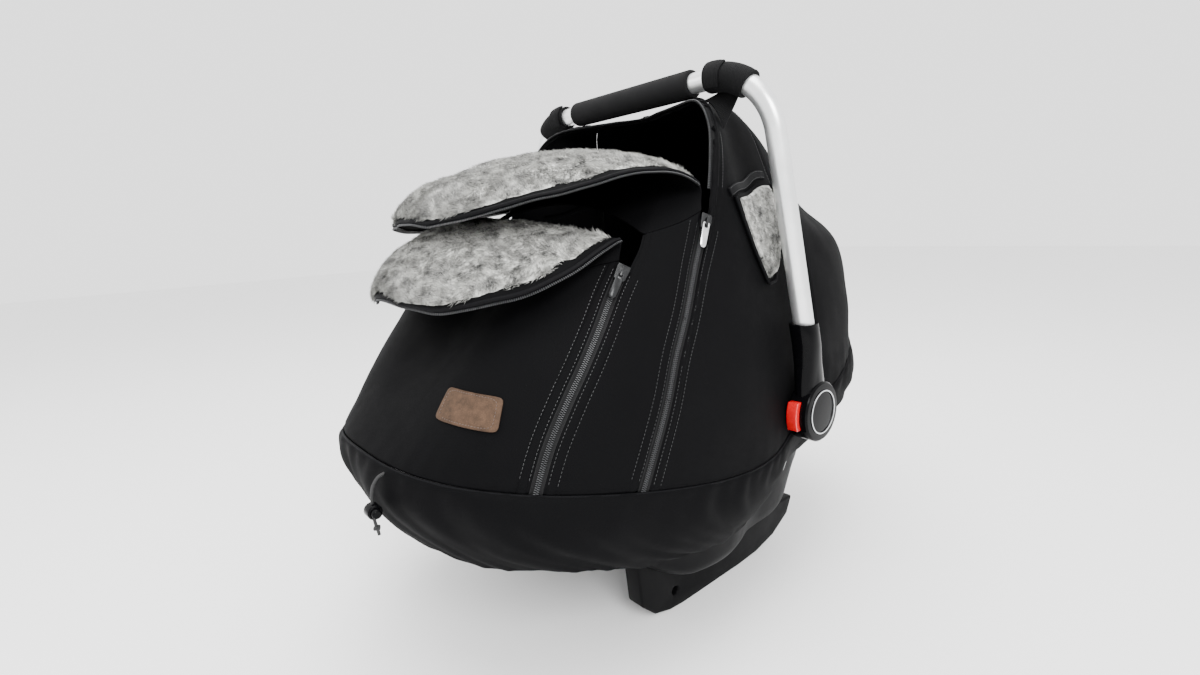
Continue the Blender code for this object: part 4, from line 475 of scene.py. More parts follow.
# Die-cast zinc under black lacquer
BLACK_ZINC = Finish(
    "black_lacquered_zinc", "dark_puller", "#1B1C1D", "#0E0E0F", 0.3, Pattern.GRAIN, 1.5, 0.01,
    metallic=0.5, mottle_mm=6,
)
# Bright chrome on a turned ring
CHROME_RING = Finish(
    "chrome_plated_ring", "chrome", "#DADCDE", "#B9BBBD", 0.14, Pattern.GRAIN, 2.0, 0.004, metallic=1.0
)

# Bench tools


def make_active(piece: bpy.types.Object) -> None:
    """Selects one piece alone and makes it the active one."""
    bpy.ops.object.select_all(action="DESELECT")
    piece.select_set(True)
    bpy.context.view_layer.objects.active = piece


@contextmanager
def editing(piece: bpy.types.Object) -> Iterator[None]:
    """Edit mode on one piece, with all of its mesh selected."""
    make_active(piece)
    bpy.ops.object.mode_set(mode="EDIT")
    bpy.ops.mesh.select_all(action="SELECT")
    yield
    bpy.ops.object.mode_set(mode="OBJECT")


def apply_modifier(piece: bpy.types.Object, kind: str, **settings: object) -> None:
    """Adds a modifier with its settings and applies it to the piece's mesh."""
    modifier = piece.modifiers.new(kind.title(), kind)
    for name, value in settings.items():
        setattr(modifier, name, value)
    make_active(piece)
    bpy.ops.object.modifier_apply(modifier=modifier.name)


def cut_away(piece: bpy.types.Object, cutter: bpy.types.Object) -> None:
    """Cuts one shape out of a piece and removes the shape."""
    apply_modifier(piece, "BOOLEAN", operation="DIFFERENCE", solver="EXACT", object=cutter)
    bpy.data.objects.remove(cutter, do_unlink=True)


def tidy_normals(piece: bpy.types.Object) -> None:
    """Merges doubles and turns every face outwards."""
    with editing(piece):
        bpy.ops.mesh.remove_doubles(threshold=MERGE_DISTANCE)
        bpy.ops.mesh.normals_make_consistent(inside=False)


def settle(piece: bpy.types.Object, name: str, smooth_degrees: float = 40.0) -> bpy.types.Object:
    """Names a drawn piece, moves its mesh to the frame of the solids and smooths it."""
    piece.name = name
    piece.data.name = name
    piece.data.transform(Matrix.Translation((0.0, BASE_SHIFT, 0.0)) @ piece.matrix_world)
    piece.matrix_world = Matrix.Identity(4)
    make_active(piece)
    bpy.ops.object.shade_smooth_by_angle(angle=math.radians(smooth_degrees))
    return piece


def dress(
    piece: bpy.types.Object, finish: Finish, body: Optional[str] = "root", nodes: Iterable[str] = ()
) -> bpy.types.Object:
    """Gives a piece its finish, its body and the solids it stands for."""
    piece.data.materials.clear()
    piece.data.materials.append(finish.material())
    if body:
        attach(piece, body)
    if nodes:
        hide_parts(*nodes)
    log.info("%s: %s, %d faces", piece.name, finish.name, len(piece.data.polygons))
    return piece


def laid_grid(points: np.ndarray, closed: bool = False) -> bpy.types.Object:
    """Adds a flat grid and lays it on points, mapped in metres.

    Args:
        points: places by row and column.
        closed: the last column meets the first.

    Returns:
        The grid as an object.
    """
    rows, columns = points.shape[:2]
    bpy.ops.mesh.primitive_grid_add(x_subdivisions=columns - 1, y_subdivisions=rows - 1, size=1.0)
    piece = bpy.context.object
    mesh = piece.data
    mesh.vertices.foreach_set("co", points.reshape(-1))
    across = steps_along(points, 1)
    up = steps_along(points, 0)
    corners = np.empty(len(mesh.loops), np.int32)
    mesh.loops.foreach_get("vertex_index", corners)
    mapped = np.stack([across.reshape(-1)[corners], up.reshape(-1)[corners]], -1)
    mesh.uv_layers[0].data.foreach_set("uv", mapped.reshape(-1))
    mesh.update()
    if closed:
        tidy_normals(piece)
    return piece


def cloth_between(
    outer: np.ndarray, thickness: float, closed: bool = False, outward: float = 1.0
) -> bpy.types.Object:
    """A sheet of cloth with a real thickness below its outer face.

    Args:
        outer: points of the outer face by row and column.
        thickness: of the cloth.
        closed: the columns run round into a ring.
        outward: 1 where the grid's own normals point out, -1 where they point in.

    Returns:
        The sheet as an object.
    """
    grid = outer if outward > 0 else outer[:, ::-1]
    piece = laid_grid(grid, closed)
    apply_modifier(piece, "SOLIDIFY", thickness=thickness, offset=-1.0, use_rim=True)
    return piece


def frames_along(path: np.ndarray, normals: np.ndarray, pitch: float, inset: float = 0.0) -> np.ndarray:
    """Places at even steps along a path, each with its own directions.

    Args:
        path: points of the path.
        normals: the way out at each point.
        pitch: real step between two places.
        inset: real length left free at both ends.

    Returns:
        Matrices whose columns are along, across, out and the place.
    """
    lengths = steps_along(path, 0)
    count = max(1, int((lengths[-1] - 2 * inset) / pitch))
    places = np.linspace(inset, lengths[-1] - inset, count)
    spots, outs = read_along(path, lengths, places), read_along(normals, lengths, places)
    ahead, behind = (read_along(path, lengths, places + step) for step in (pitch / 2, -pitch / 2))
    along = unit(ahead - behind)
    outs = unit(outs - (outs * along).sum(-1, keepdims=True) * along)
    across = np.cross(outs, along)
    return np.stack([along, across, outs, spots], -1)


def repeated(pattern: bpy.types.Object, frames: np.ndarray) -> bpy.types.Object:
    """One mesh that holds a copy of the pattern at every place.

    Args:
        pattern: the piece that was modelled once; it is removed.
        frames: matrices from frames_along.

    Returns:
        The copies as one object.
    """
    source = pattern.data
    points = np.empty(len(source.vertices) * 3)
    source.vertices.foreach_get("co", points)
    points = points.reshape(-1, 3)
    faces = [list(polygon.vertices) for polygon in source.polygons]
    placed = np.einsum("kij,nj->kni", frames[:, :, :3], points) + frames[:, None, :, 3]
    starts = range(0, len(frames) * len(points), len(points))
    all_faces = [[start + corner for corner in face] for start in starts for face in faces]
    mesh = bpy.data.meshes.new("copies")
    mesh.from_pydata(placed.reshape(-1, 3).tolist(), [], all_faces)
    bpy.data.objects.remove(pattern, do_unlink=True)
    made = bpy.data.objects.new("copies", mesh)
    bpy.context.scene.collection.objects.link(made)
    return made


def small_block(
    size: Sequence[float], bevel: float, middle: Sequence[float] = (0.0, 0.0, 0.0)
) -> bpy.types.Object:
    """A small block with every edge bevelled."""
    bpy.ops.mesh.primitive_cube_add(size=1.0)
    piece = bpy.context.object
    piece.data.transform(Matrix.Translation(middle) @ Matrix.Diagonal((*size, 1.0)))
    if bevel:
        apply_modifier(piece, "BEVEL", width=bevel, segments=1, limit_method="NONE")
    return piece


def swept(
    path: np.ndarray, normals: np.ndarray, section: np.ndarray, closed: bool = False
) -> bpy.types.Object:
    """A closed body with one section all along a path, mapped in metres.

    Args:
        path: points of the path.
        normals: the way out at each point.
        section: points of the section along the side and the normal, or one such list for each point.
        closed: the path runs round into a ring.

    Returns:
        The body as an object.
    """
    if closed:
        path = np.concatenate([path, path[:1]])
        normals = np.concatenate([normals, normals[:1]])
        tangents = np.concatenate([path[1:2] - path[-2:-1], path[2:] - path[:-2], path[1:2] - path[-2:-1]])
    else:
        tangents = np.gradient(path, axis=0)
    tangents = unit(tangents)
    outs = unit(normals - (normals * tangents).sum(-1, keepdims=True) * tangents)
    sides = np.cross(outs, tangents)
    section = np.asarray(section, float)
    if section.ndim == 2:
        section = np.repeat(section[None], len(path), 0)
    section = np.concatenate([section, section[:, :1]], 1)
    rings = path[:, None] + section[..., :1] * sides[:, None] + section[..., 1:] * outs[:, None]
    piece = laid_grid(rings)
    with editing(piece):
        bpy.ops.mesh.remove_doubles(threshold=MERGE_DISTANCE)
        if not closed:
            bpy.ops.mesh.select_all(action="DESELECT")
            bpy.ops.mesh.select_non_manifold()
            bpy.ops.mesh.edge_face_add()
            bpy.ops.mesh.select_all(action="SELECT")
        bpy.ops.mesh.normals_make_consistent(inside=False)
    return piece


def oval(half_width: float, half_height: float, count: int, power: float = 2.0) -> np.ndarray:
    """A rounded section of given half sizes."""
    angles = np.arange(count) * 2 * math.pi / count
    cosine, sine = np.cos(angles), np.sin(angles)
    return np.stack(
        [
            half_width * np.sign(cosine) * np.abs(cosine) ** (2 / power),
            half_height * np.sign(sine) * np.abs(sine) ** (2 / power),
        ],
        -1,
    )


def refined(
    node: str, finish: Finish, body: str, bevel: float, segments: int = 2, degrees: float = 30.0
) -> bpy.types.Object:
    """A solid's own shape with its sharp edges rounded as they are in the mould.

    Args:
        node: the solid.
        finish: of the piece.
        body: that it moves with.
        bevel: radius of the rounded edges.
        segments: of each rounded edge.
        degrees: edges turned by more than this are rounded.

    Returns:
        The piece, which stands for the solid.
    """
    piece = bpy.data.objects.new(node + "_finished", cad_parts[node].data.copy())
    bpy.context.scene.collection.objects.link(piece)
    tidy_normals(piece)
    with editing(piece):
        bpy.ops.mesh.dissolve_limited(angle_limit=math.radians(FLAT_DEGREES))
    limit = math.radians(degrees)
    apply_modifier(piece, "BEVEL", width=bevel, segments=segments, limit_method="ANGLE", angle_limit=limit)
    apply_modifier(piece, "TRIANGULATE")
    make_active(piece)
    bpy.ops.object.shade_smooth_by_angle(angle=math.radians(CAST_EDGE_DEGREES))
    return dress(piece, finish, body, [node])


class Side(Enum):
    """Near or far side of the seat."""

    NEAR = 1
    FAR = -1

    @property
    def letter(self) -> str:
        """The letter that ends the side's node names."""
        return "r" if self is Side.NEAR else "l"

    def of(self, points: np.ndarray) -> np.ndarray:
        """The points, or their mirror image."""
        return np.asarray(points, float) * np.array([self.value, 1.0, 1.0])


@dataclass(frozen=True)
class Swell:
    """Extra fullness of the hood round one turn and one rise, alike on both sides."""

    size: float
    turn: float
    turn_spread: float
    rise: float
    rise_spread: float

    def at(self, turn: np.ndarray, rise: np.ndarray) -> np.ndarray:
        """The extra fullness at turns and rises."""
        across = bell(np.abs(turn) - self.turn, self.turn_spread)
        return self.size * across * bell(rise - self.rise, self.rise_spread)


@dataclass(frozen=True)
class Hood:
    """The hood's outer skin and the lines drawn on it."""

    rim_half_width: float = 0.228
    rim_front: float = 0.345
    rim_rear: float = 0.384
    rim_centre_y: float = -0.055
    plan_roundness: float = 2.6
    seam_z: tuple[float, float, float] = (0.253, 0.192, 0.308)
    apex_y: float = -0.005
    apex_z: float = 0.590
    fullness: tuple[float, float, float] = (1.04, 2.85, 2.7)
    side_lean: float = 0.164
    tuck: tuple[float, float, float] = (0.078, 116.0, 17.0)
    shoulder: Swell = Swell(2.05, 87.1, 12.0, 51.2, 17.0)
    crown: Swell = Swell(5.58, 113.4, 31.7, 64.4, 10.9)
    slack: tuple[float, float, float, float, float] = (0.236, 44.7, 18.1, 111.3, 40.0)
    rear_curve: float = 1.3
    step: float = 0.4

    def reach(self, turn: np.ndarray) -> np.ndarray:
        """Distance of the seam from the rim's centre."""
        angle = np.radians(turn)
        length = np.where(np.abs(turn) <= RIGHT_ANGLE, self.rim_front, self.rim_rear)
        wide = np.abs(np.sin(angle) / self.rim_half_width) ** self.plan_roundness
        long = np.abs(np.cos(angle) / length) ** self.plan_roundness
        return (wide + long) ** (-1 / self.plan_roundness)

    def seam(self, turn: np.ndarray) -> np.ndarray:
        """Height of the seam between hood and skirt."""
        share = np.abs(turn) / RIGHT_ANGLE
        front, side, rear = self.seam_z
        return np.where(
            share <= 1,
            front + (side - front) * ease(share),
            side + (rear - side) * ease(share - 1) ** self.rear_curve,
        )

    def tucked(self, turn: np.ndarray, lowness: np.ndarray) -> np.ndarray:
        """Factor that draws the cloth in beside a hub."""
        share, centre, spread = self.tuck
        return 1 - share * bell(np.abs(turn) - centre, spread) * lowness**2

    def mix(self, turn: np.ndarray, front: float, side: float, rear: float) -> np.ndarray:
        """A value that passes from the foot end to the sides and the head end."""
        share = np.abs(turn) / RIGHT_ANGLE
        return front + (side - front) * ease(share) + (rear - side) * ease(share - 1)

    def skin(self, turn: np.ndarray, rise: np.ndarray) -> np.ndarray:
        """Points of the skin at turns and rises."""
        turn, rise = np.broadcast_arrays(np.asarray(turn, float), np.asarray(rise, float))
        turn = (turn + HALF_TURN) % FULL_TURN - HALF_TURN
        angle, lift = np.radians(turn), np.radians(rise)
        low, high = np.maximum(np.cos(lift), 1e-9), np.maximum(np.sin(lift), 1e-9)
        full = self.mix(turn, *self.fullness) + self.shoulder.at(turn, rise) + self.crown.at(turn, rise)
        stretch = (low**full + high**full) ** (-1 / full)
        inward, upward = low * stretch, high * stretch
        share, at_rise, rise_spread, first_turn, turn_spread = self.slack
        rearward = ease((np.abs(turn) - first_turn) / turn_spread)
        upward = upward * (1 - share * bell(rise - at_rise, rise_spread) * rearward)
        lean = self.mix(turn, 0, self.side_lean, 0)
        reach = self.reach(turn) * inward * (1 - lean * upward) * self.tucked(turn, low)
        seam = self.seam(turn)
        middle = self.rim_centre_y + (self.apex_y - self.rim_centre_y) * (1 - inward)
        return np.stack(
            [reach * np.sin(angle), middle - reach * np.cos(angle), seam + (self.apex_z - seam) * upward], -1
        )

    def slopes(self, turn: np.ndarray, rise: np.ndarray) -> tuple[np.ndarray, np.ndarray, np.ndarray]:
        """Movement of the skin's points per degree of turn and of rise, and the way out."""
        rise = np.maximum(rise, self.step)
        by_turn = (self.skin(turn + self.step, rise) - self.skin(turn - self.step, rise)) / (2 * self.step)
        by_rise = (self.skin(turn, rise + self.step) - self.skin(turn, rise - self.step)) / (2 * self.step)
        return by_turn, by_rise, unit(np.cross(by_turn, by_rise))

    def out(self, path: np.ndarray) -> np.ndarray:
        """The way out at places given as rows of turn and rise."""
        return self.slopes(path[..., 0], path[..., 1])[2]

    def off(self, path: np.ndarray, distance: np.ndarray) -> np.ndarray:
        """Points a distance out from places on the skin."""
        return self.skin(path[..., 0], path[..., 1]) + np.asarray(distance)[..., None] * self.out(path)

    def beside(self, path: np.ndarray, distance: float) -> np.ndarray:
        """A path on the skin moved sideways by a real distance, inwards where positive."""
        by_turn, by_rise, outs = self.slopes(path[:, 0], path[:, 1])
        steps = np.gradient(path, axis=0)
        tangents = unit(by_turn * steps[:, :1] + by_rise * steps[:, 1:])
        wanted = distance * np.cross(outs, tangents)
        moved = []
        for one, two, target, place in zip(by_turn, by_rise, wanted, path):
            shift = np.linalg.lstsq(np.stack([one, two], -1), target, rcond=None)[0]
            moved.append([place[0] + shift[0], max(place[1] + shift[1], 0.0)])
        return np.array(moved)


HOOD = Hood()
OUTER_ZIP = ((51.5, 0), (54.5, 6), (58, 12.5), (61, 18.5), (65, 24), (70, 30.5), (77, 37))
INNER_ZIP = ((34, 0), (36, 7), (38.5, 13), (41, 18), (43.5, 23), (46, 28), (49, 32.5))
DOORWAY = (
    (77, 37),
    (80, 40),
    (83, 43.5),
    (86, 47),
    (87.6, 50),
    (89, 53),
    (92, 58),
    (96, 65),
    (102, 74),
    (110, 80),
    (135, 85.5),
    (180, 88),
)
BACK_SEAM = ((127, 0), (127, 20), (126.5, 38), (123, 52), (112, 66), (101, 72.8))
STRIP_TOP = ((51.2, 35.0), (52.4, 37.2))
ZIP_HALF_CHANNEL = 0.0060


def inner_zip(count: int) -> np.ndarray:
    """Places along the inner zip, seam to slider."""
    return through(INNER_ZIP, np.linspace(0, 1, count))


def outer_zip(count: int) -> np.ndarray:
    """Places along the outer zip, seam to slider."""
    return through(OUTER_ZIP, np.linspace(0, 1, count))


def doorway(first_turn: float, last_turn: float, count: int) -> np.ndarray:
    """Places along the doorway's edge between two turns, in even steps."""
    near = through(DOORWAY, np.linspace(0, 1, 401))
    far = near[-2::-1] * np.array([-1.0, 1.0]) + np.array([FULL_TURN, 0.0])
    path = np.concatenate([near, far])
    path = path[(path[:, 0] >= first_turn) & (path[:, 0] <= last_turn)]
    lengths = steps_along(HOOD.skin(path[:, 0], path[:, 1]), 0)
    return read_along(path, lengths, np.linspace(0, lengths[-1], count))


def filled(bottom: np.ndarray, top: np.ndarray, left: np.ndarray, right: np.ndarray) -> np.ndarray:
    """A grid between four edges that share their corners, by place across and place up."""
    u = np.linspace(0, 1, len(bottom))[:, None, None]
    v = np.linspace(0, 1, len(left))[None, :, None]
    corners = (
        (1 - u) * (1 - v) * bottom[0] + u * (1 - v) * bottom[-1] + (1 - u) * v * top[0] + u * v * top[-1]
    )
    return (1 - v) * bottom[:, None] + v * top[:, None] + (1 - u) * left[None] + u * right[None] - corners


def resampled(grid: np.ndarray, across: np.ndarray, up: np.ndarray) -> np.ndarray:
    """A grid read at new places across and up, smoothly."""
    wide = through(grid, across)
    return through(wide.transpose(1, 0, 2), up).transpose(1, 0, 2)


@dataclass(frozen=True)
class Hem:
    """How a panel's edge is finished, in metres from the edge."""

    roll: float = 0.0
    lines: tuple[float, ...] = ()
    ridge: float = 0.0
    pucker: float = 0.0
    pitch: float = 0.017
    fade: float = 0.016
    roll_width: float = 0.0016
    dent: float = 0.00042
    dent_width: float = 0.0008
    ridge_flank: float = 0.0012
    pucker_start: float = 0.004
    pucker_wander: tuple[float, float] = (2.2, 0.043)
    pucker_swing: tuple[float, float, float] = (0.55, 0.45, 0.071)

    def relief(self, distance: np.ndarray, along: np.ndarray, seed: float) -> np.ndarray:
        """How far the cloth stands out near this edge.

        Args:
            distance: from the edge at every point.
            along: real distance along the edge.
            seed: moves the puckers along.

        Returns:
            The offset along the way out.
        """
        out = -self.roll * bell(distance, self.roll_width)
        for line in self.lines:
            out = out - self.dent * bell(distance - line, self.dent_width)
        if self.ridge and len(self.lines) > 1:
            first, last = min(self.lines), max(self.lines)
            flanks = ease((distance - first) / self.ridge_flank) * ease((last - distance) / self.ridge_flank)
            out = out + self.ridge * flanks
        if self.pucker:
            wander, wander_pitch = self.pucker_wander
            steady, swing, swing_pitch = self.pucker_swing
            phase = 2 * math.pi * along / self.pitch + wander * np.sin(along / wander_pitch + seed)
            strength = steady + swing * np.sin(along / swing_pitch + 1.7 * seed)
            rising = ease(distance / self.pucker_start)
            out = out + self.pucker * strength * np.sin(phase) * np.exp(-distance / self.fade) * rising
        return out


ZIPPED = Hem(roll=0.0011, lines=(0.0022, 0.0105), ridge=0.00045, pucker=0.00042)
GATHER_SEAM = Hem(roll=0.0013, lines=(0.0034,), pucker=0.0011, pitch=0.024, fade=0.022)
BOUND_EDGE = Hem(roll=0.0004, lines=(0.0085,), pucker=0.0003)
JOINING_SEAM = Hem(roll=0.0012, lines=(0.0030,), pucker=0.0005, pitch=0.020)
PLAIN_EDGE = Hem(roll=0.0003)
# Distances from a panel's edge at which its points lie, close enough for the rolled edge and its seams
CLOSE_STEPS = (
    0.0, 0.0008, 0.0016, 0.0024, 0.0034, 0.0046, 0.0060, 0.0078, 0.0094, 0.0106, 0.0120, 0.0145, 0.018
)


@dataclass
class StitchLine:
    """A run of topstitching: where it goes and how far off the cloth it lies."""

    path: np.ndarray
    outs: np.ndarray
    pitch: float = 0.0036
    length: float = 0.0027
    thread: float = 0.00052
    flatness: float = 1.4
    free_end: float = 0.004

    def sew(self, name: str, finish: Finish = THREAD, body: str = "root") -> bpy.types.Object:
        """The stitches as one piece."""
        bpy.ops.mesh.primitive_uv_sphere_add(segments=6, ring_count=4, radius=0.5)
        stitch = bpy.context.object
        stitch.data.transform(Matrix.Diagonal((self.length, self.thread * self.flatness, self.thread, 1.0)))
        places = frames_along(self.path, self.outs, self.pitch, self.free_end)
        return dress(settle(repeated(stitch, places), name), finish, body)


@dataclass
class HoodPanel:
    """One cloth panel of the hood, cut and sewn on the skin."""

    name: str
    node: str
    grid: np.ndarray
    hems: tuple[Hem, Hem, Hem, Hem]
    middle_step: float = 0.0055
    thickness: float = 0.0034
    sag: float = 0.0016
    seed: float = 0.0
    calm_border: float = 0.03
    wide_wave: float = 0.085
    small_wave: float = 0.034
    small_wave_share: float = 0.4

    def outer(self) -> np.ndarray:
        """Points of the sewn outer face."""
        width, height = longest_runs(HOOD.skin(self.grid[..., 0], self.grid[..., 1]))
        places = resampled(
            self.grid,
            crowded(width, self.middle_step, CLOSE_STEPS),
            crowded(height, self.middle_step, CLOSE_STEPS),
        )
        places[..., 1] = np.maximum(places[..., 1], 0)
        points = HOOD.skin(places[..., 0], places[..., 1])
        across, up = steps_along(points, 0), steps_along(points, 1)
        sides = ((across, up), (across[-1:] - across, up), (up, across), (up[:, -1:] - up, across))
        offset = np.zeros(across.shape)
        for number, (hem, (distance, along)) in enumerate(zip(self.hems, sides)):
            offset = offset + hem.relief(distance, along, self.seed + number)
        inside = ease(np.minimum.reduce([distance for distance, _ in sides]) / self.calm_border)
        waves = soft_noise(points, self.wide_wave, self.seed)
        waves = waves + self.small_wave_share * soft_noise(points, self.small_wave, self.seed + 5)
        offset = offset + self.sag * inside * waves
        outs = HOOD.out(places)
        level = unit(outs * np.array([1.0, 1.0, 0.0]))
        outs = np.where((places[..., 1] < HOOD.step)[..., None], level, outs)
        return points + offset[..., None] * outs

    def make(self, side: Side = Side.NEAR, cutters: Sequence[bpy.types.Object] = ()) -> bpy.types.Object:
        """The panel, dressed.

        Args:
            side: the side it is for.
            cutters: shapes cut out of it; they are removed.

        Returns:
            The panel.
        """
        outer = side.of(self.outer())
        piece = cloth_between(outer, self.thickness, outward=-side.value)
        for cutter in cutters:
            cut_away(piece, cutter)
        made = dress(settle(piece, self.name), SOFTSHELL, "root", [self.node])
        return made


def outer_area(grid: np.ndarray) -> float:
    """Area of a grid of points."""
    one = grid[1:, :-1] - grid[:-1, :-1]
    two = grid[:-1, 1:] - grid[:-1, :-1]
    three = grid[1:, 1:] - grid[:-1, 1:]
    four = grid[1:, 1:] - grid[1:, :-1]
    lower = np.linalg.norm(np.cross(one, two), axis=-1)
    upper = np.linalg.norm(np.cross(three, four), axis=-1)
    return float((lower.sum() + upper.sum()) / 2)


def mirrored_places(places: np.ndarray, side: Side) -> np.ndarray:
    """Places on the skin on the given side."""
    return places * np.array([side.value, 1.0])


@dataclass
class HoodCloth:
    """All panels of the hood with their topstitching."""

    vent_turns: tuple[float, float] = (96.0, 121.0)
    vent_fore: tuple[float, float] = (37.0, 37.9)
    vent_aft: tuple[float, float] = (41.2, 42.8)
    cut_reach: float = 0.012
    hub_hole: float = 0.011
    hub_place: tuple[float, float, float] = (0.2115, 0.051, 0.228)
    zip_stitching: tuple[float, ...] = (-0.0167, -0.0084, 0.0084, 0.0167)
    seam_stitching: float = 0.0031
    doorway_stitching: float = -0.0148
    doorway_last_turn: float = 176.0
    seam_lap: float = 0.12
    across: int = 41
    along: int = 40
    round_head: int = 60

    def strip_edges(self) -> tuple[np.ndarray, np.ndarray]:
        """Both edges of the strip between the zips."""
        inner = HOOD.beside(np.concatenate([inner_zip(11), STRIP_TOP]), -ZIP_HALF_CHANNEL)
        outer = HOOD.beside(outer_zip(13), ZIP_HALF_CHANNEL)
        return inner, outer

    def front_grid(self) -> np.ndarray:
        """Places of the front panel."""
        edge = HOOD.beside(inner_zip(11), ZIP_HALF_CHANNEL)
        across = np.linspace(-1, 1, self.across)
        rises = np.broadcast_to(edge[None, :, 1], (self.across, len(edge)))
        return np.stack([across[:, None] * edge[None, :, 0], rises], -1)

    def strip_grid(self) -> np.ndarray:
        """Places of the near strip."""
        inner, outer = self.strip_edges()
        return inner[None] + (outer - inner)[None] * np.linspace(0, 1, 5)[:, None, None]

    def side_grid(self) -> np.ndarray:
        """Places of the near side."""
        left = HOOD.beside(outer_zip(13), -ZIP_HALF_CHANNEL)
        right = through(BACK_SEAM, np.linspace(0, 1, 13))
        top = HOOD.beside(doorway(DOORWAY[0][0], right[-1, 0], self.along), -ZIP_HALF_CHANNEL)
        left[-1] = top[0] = (left[-1] + top[0]) / 2
        right[-1] = top[-1]
        bottom = np.stack([np.linspace(left[0, 0], right[0, 0], self.along), np.zeros(self.along)], -1)
        return filled(bottom, top, left, right)

    def head_grid(self) -> np.ndarray:
        """Places of the head end."""
        left = through(BACK_SEAM, np.linspace(0, 1, 13))
        top = HOOD.beside(doorway(left[-1, 0], FULL_TURN - left[-1, 0], self.round_head), -ZIP_HALF_CHANNEL)
        left[-1] = top[0]
        left[:, 0] += self.seam_lap
        right = left * np.array([-1.0, 1.0]) + np.array([FULL_TURN, 0.0])
        top[0], top[-1] = left[-1], right[-1]
        turns = np.linspace(left[0, 0], right[0, 0], self.round_head)
        bottom = np.stack([turns, np.zeros(self.round_head)], -1)
        return filled(bottom, top, left, right)

    def vent_cutter(self, side: Side) -> bpy.types.Object:
        """The slot of the side vent."""
        turns, share = np.meshgrid(np.linspace(*self.vent_turns, 15), np.linspace(0, 1, 4), indexing="ij")
        along = (turns - self.vent_turns[0]) / (self.vent_turns[1] - self.vent_turns[0])
        lower = self.vent_fore[0] + (self.vent_aft[0] - self.vent_fore[0]) * along
        upper = self.vent_fore[1] + (self.vent_aft[1] - self.vent_fore[1]) * along
        places = np.stack([turns, lower + (upper - lower) * share], -1)
        lip = side.of(HOOD.off(places, np.full(turns.shape, self.cut_reach)))
        piece = cloth_between(lip, 2 * self.cut_reach, outward=-side.value)
        tidy_normals(piece)
        return piece

    def hub_cutter(self, side: Side) -> bpy.types.Object:
        """The hole round the handle's pin."""
        x, y, z = self.hub_place
        bpy.ops.mesh.primitive_cylinder_add(
            vertices=40,
            radius=self.hub_hole,
            depth=0.07,
            location=(side.value * x, y, z),
            rotation=(0, math.pi / 2, 0),
        )
        piece = bpy.context.object
        piece.data.transform(piece.matrix_world)
        piece.matrix_world = Matrix.Identity(4)
        return piece

    def stitch(self, name: str, path: np.ndarray, distance: float, side: Side) -> None:
        """A line of topstitching beside a path on the skin."""
        line = mirrored_places(HOOD.beside(path, distance) if distance else path, side)
        points = HOOD.off(line, np.full(len(line), 0.0001))
        StitchLine(points, HOOD.out(line)).sew(name)

    def build(self) -> None:
        """Makes every panel."""
        HoodPanel(
            "front_cloth", "front_panel", self.front_grid(), (ZIPPED, ZIPPED, GATHER_SEAM, PLAIN_EDGE),
            seed=3.0, sag=0.0022,
        ).make()
        zips = (("inner", inner_zip(60)[2:-2]), ("outer", outer_zip(70)[2:-2]))
        for side in Side:
            letter = side.letter
            HoodPanel(
                f"strip_cloth_{letter}", f"strip_panel_{letter}", self.strip_grid(),
                (ZIPPED, ZIPPED, GATHER_SEAM, PLAIN_EDGE), seed=11.0 + side.value,
            ).make(side)
            HoodPanel(
                f"side_cloth_{letter}", f"side_panel_{letter}", self.side_grid(),
                (ZIPPED, JOINING_SEAM, GATHER_SEAM, BOUND_EDGE), seed=21.0 + side.value, sag=0.0019,
            ).make(side, [self.vent_cutter(side), self.hub_cutter(side)])
            for label, path in zips:
                for number, distance in enumerate(self.zip_stitching):
                    self.stitch(f"{label}_stitching_{number + 1}_{letter}", path, distance, side)
            seam = through(BACK_SEAM, np.linspace(0, 1, 90))[2:-2]
            self.stitch(f"back_seam_stitching_{letter}", seam, self.seam_stitching, side)
            edge = doorway(DOORWAY[1][0], self.doorway_last_turn, 140)
            self.stitch(f"doorway_stitching_{letter}", edge, self.doorway_stitching, side)
        HoodPanel(
            "head_cloth", "back_panel", self.head_grid(),
            (JOINING_SEAM, JOINING_SEAM, GATHER_SEAM, BOUND_EDGE), seed=31.0, sag=0.0024, middle_step=0.0075,
        ).make()


@dataclass(frozen=True)
class Gathers:
    """Small folds along a gathered edge, which fade away from it."""

    depth: float
    pitch: float
    wander: float
    wander_pitch: float
    fade: float

    def relief(self, along: np.ndarray, away: np.ndarray) -> np.ndarray:
        """How far the folds stand out at distances along the edge and shares away from it."""
        phase = 2 * math.pi * along / self.pitch + self.wander * np.sin(along / self.wander_pitch)
        return self.depth * np.sin(phase) * np.exp(-away / self.fade)


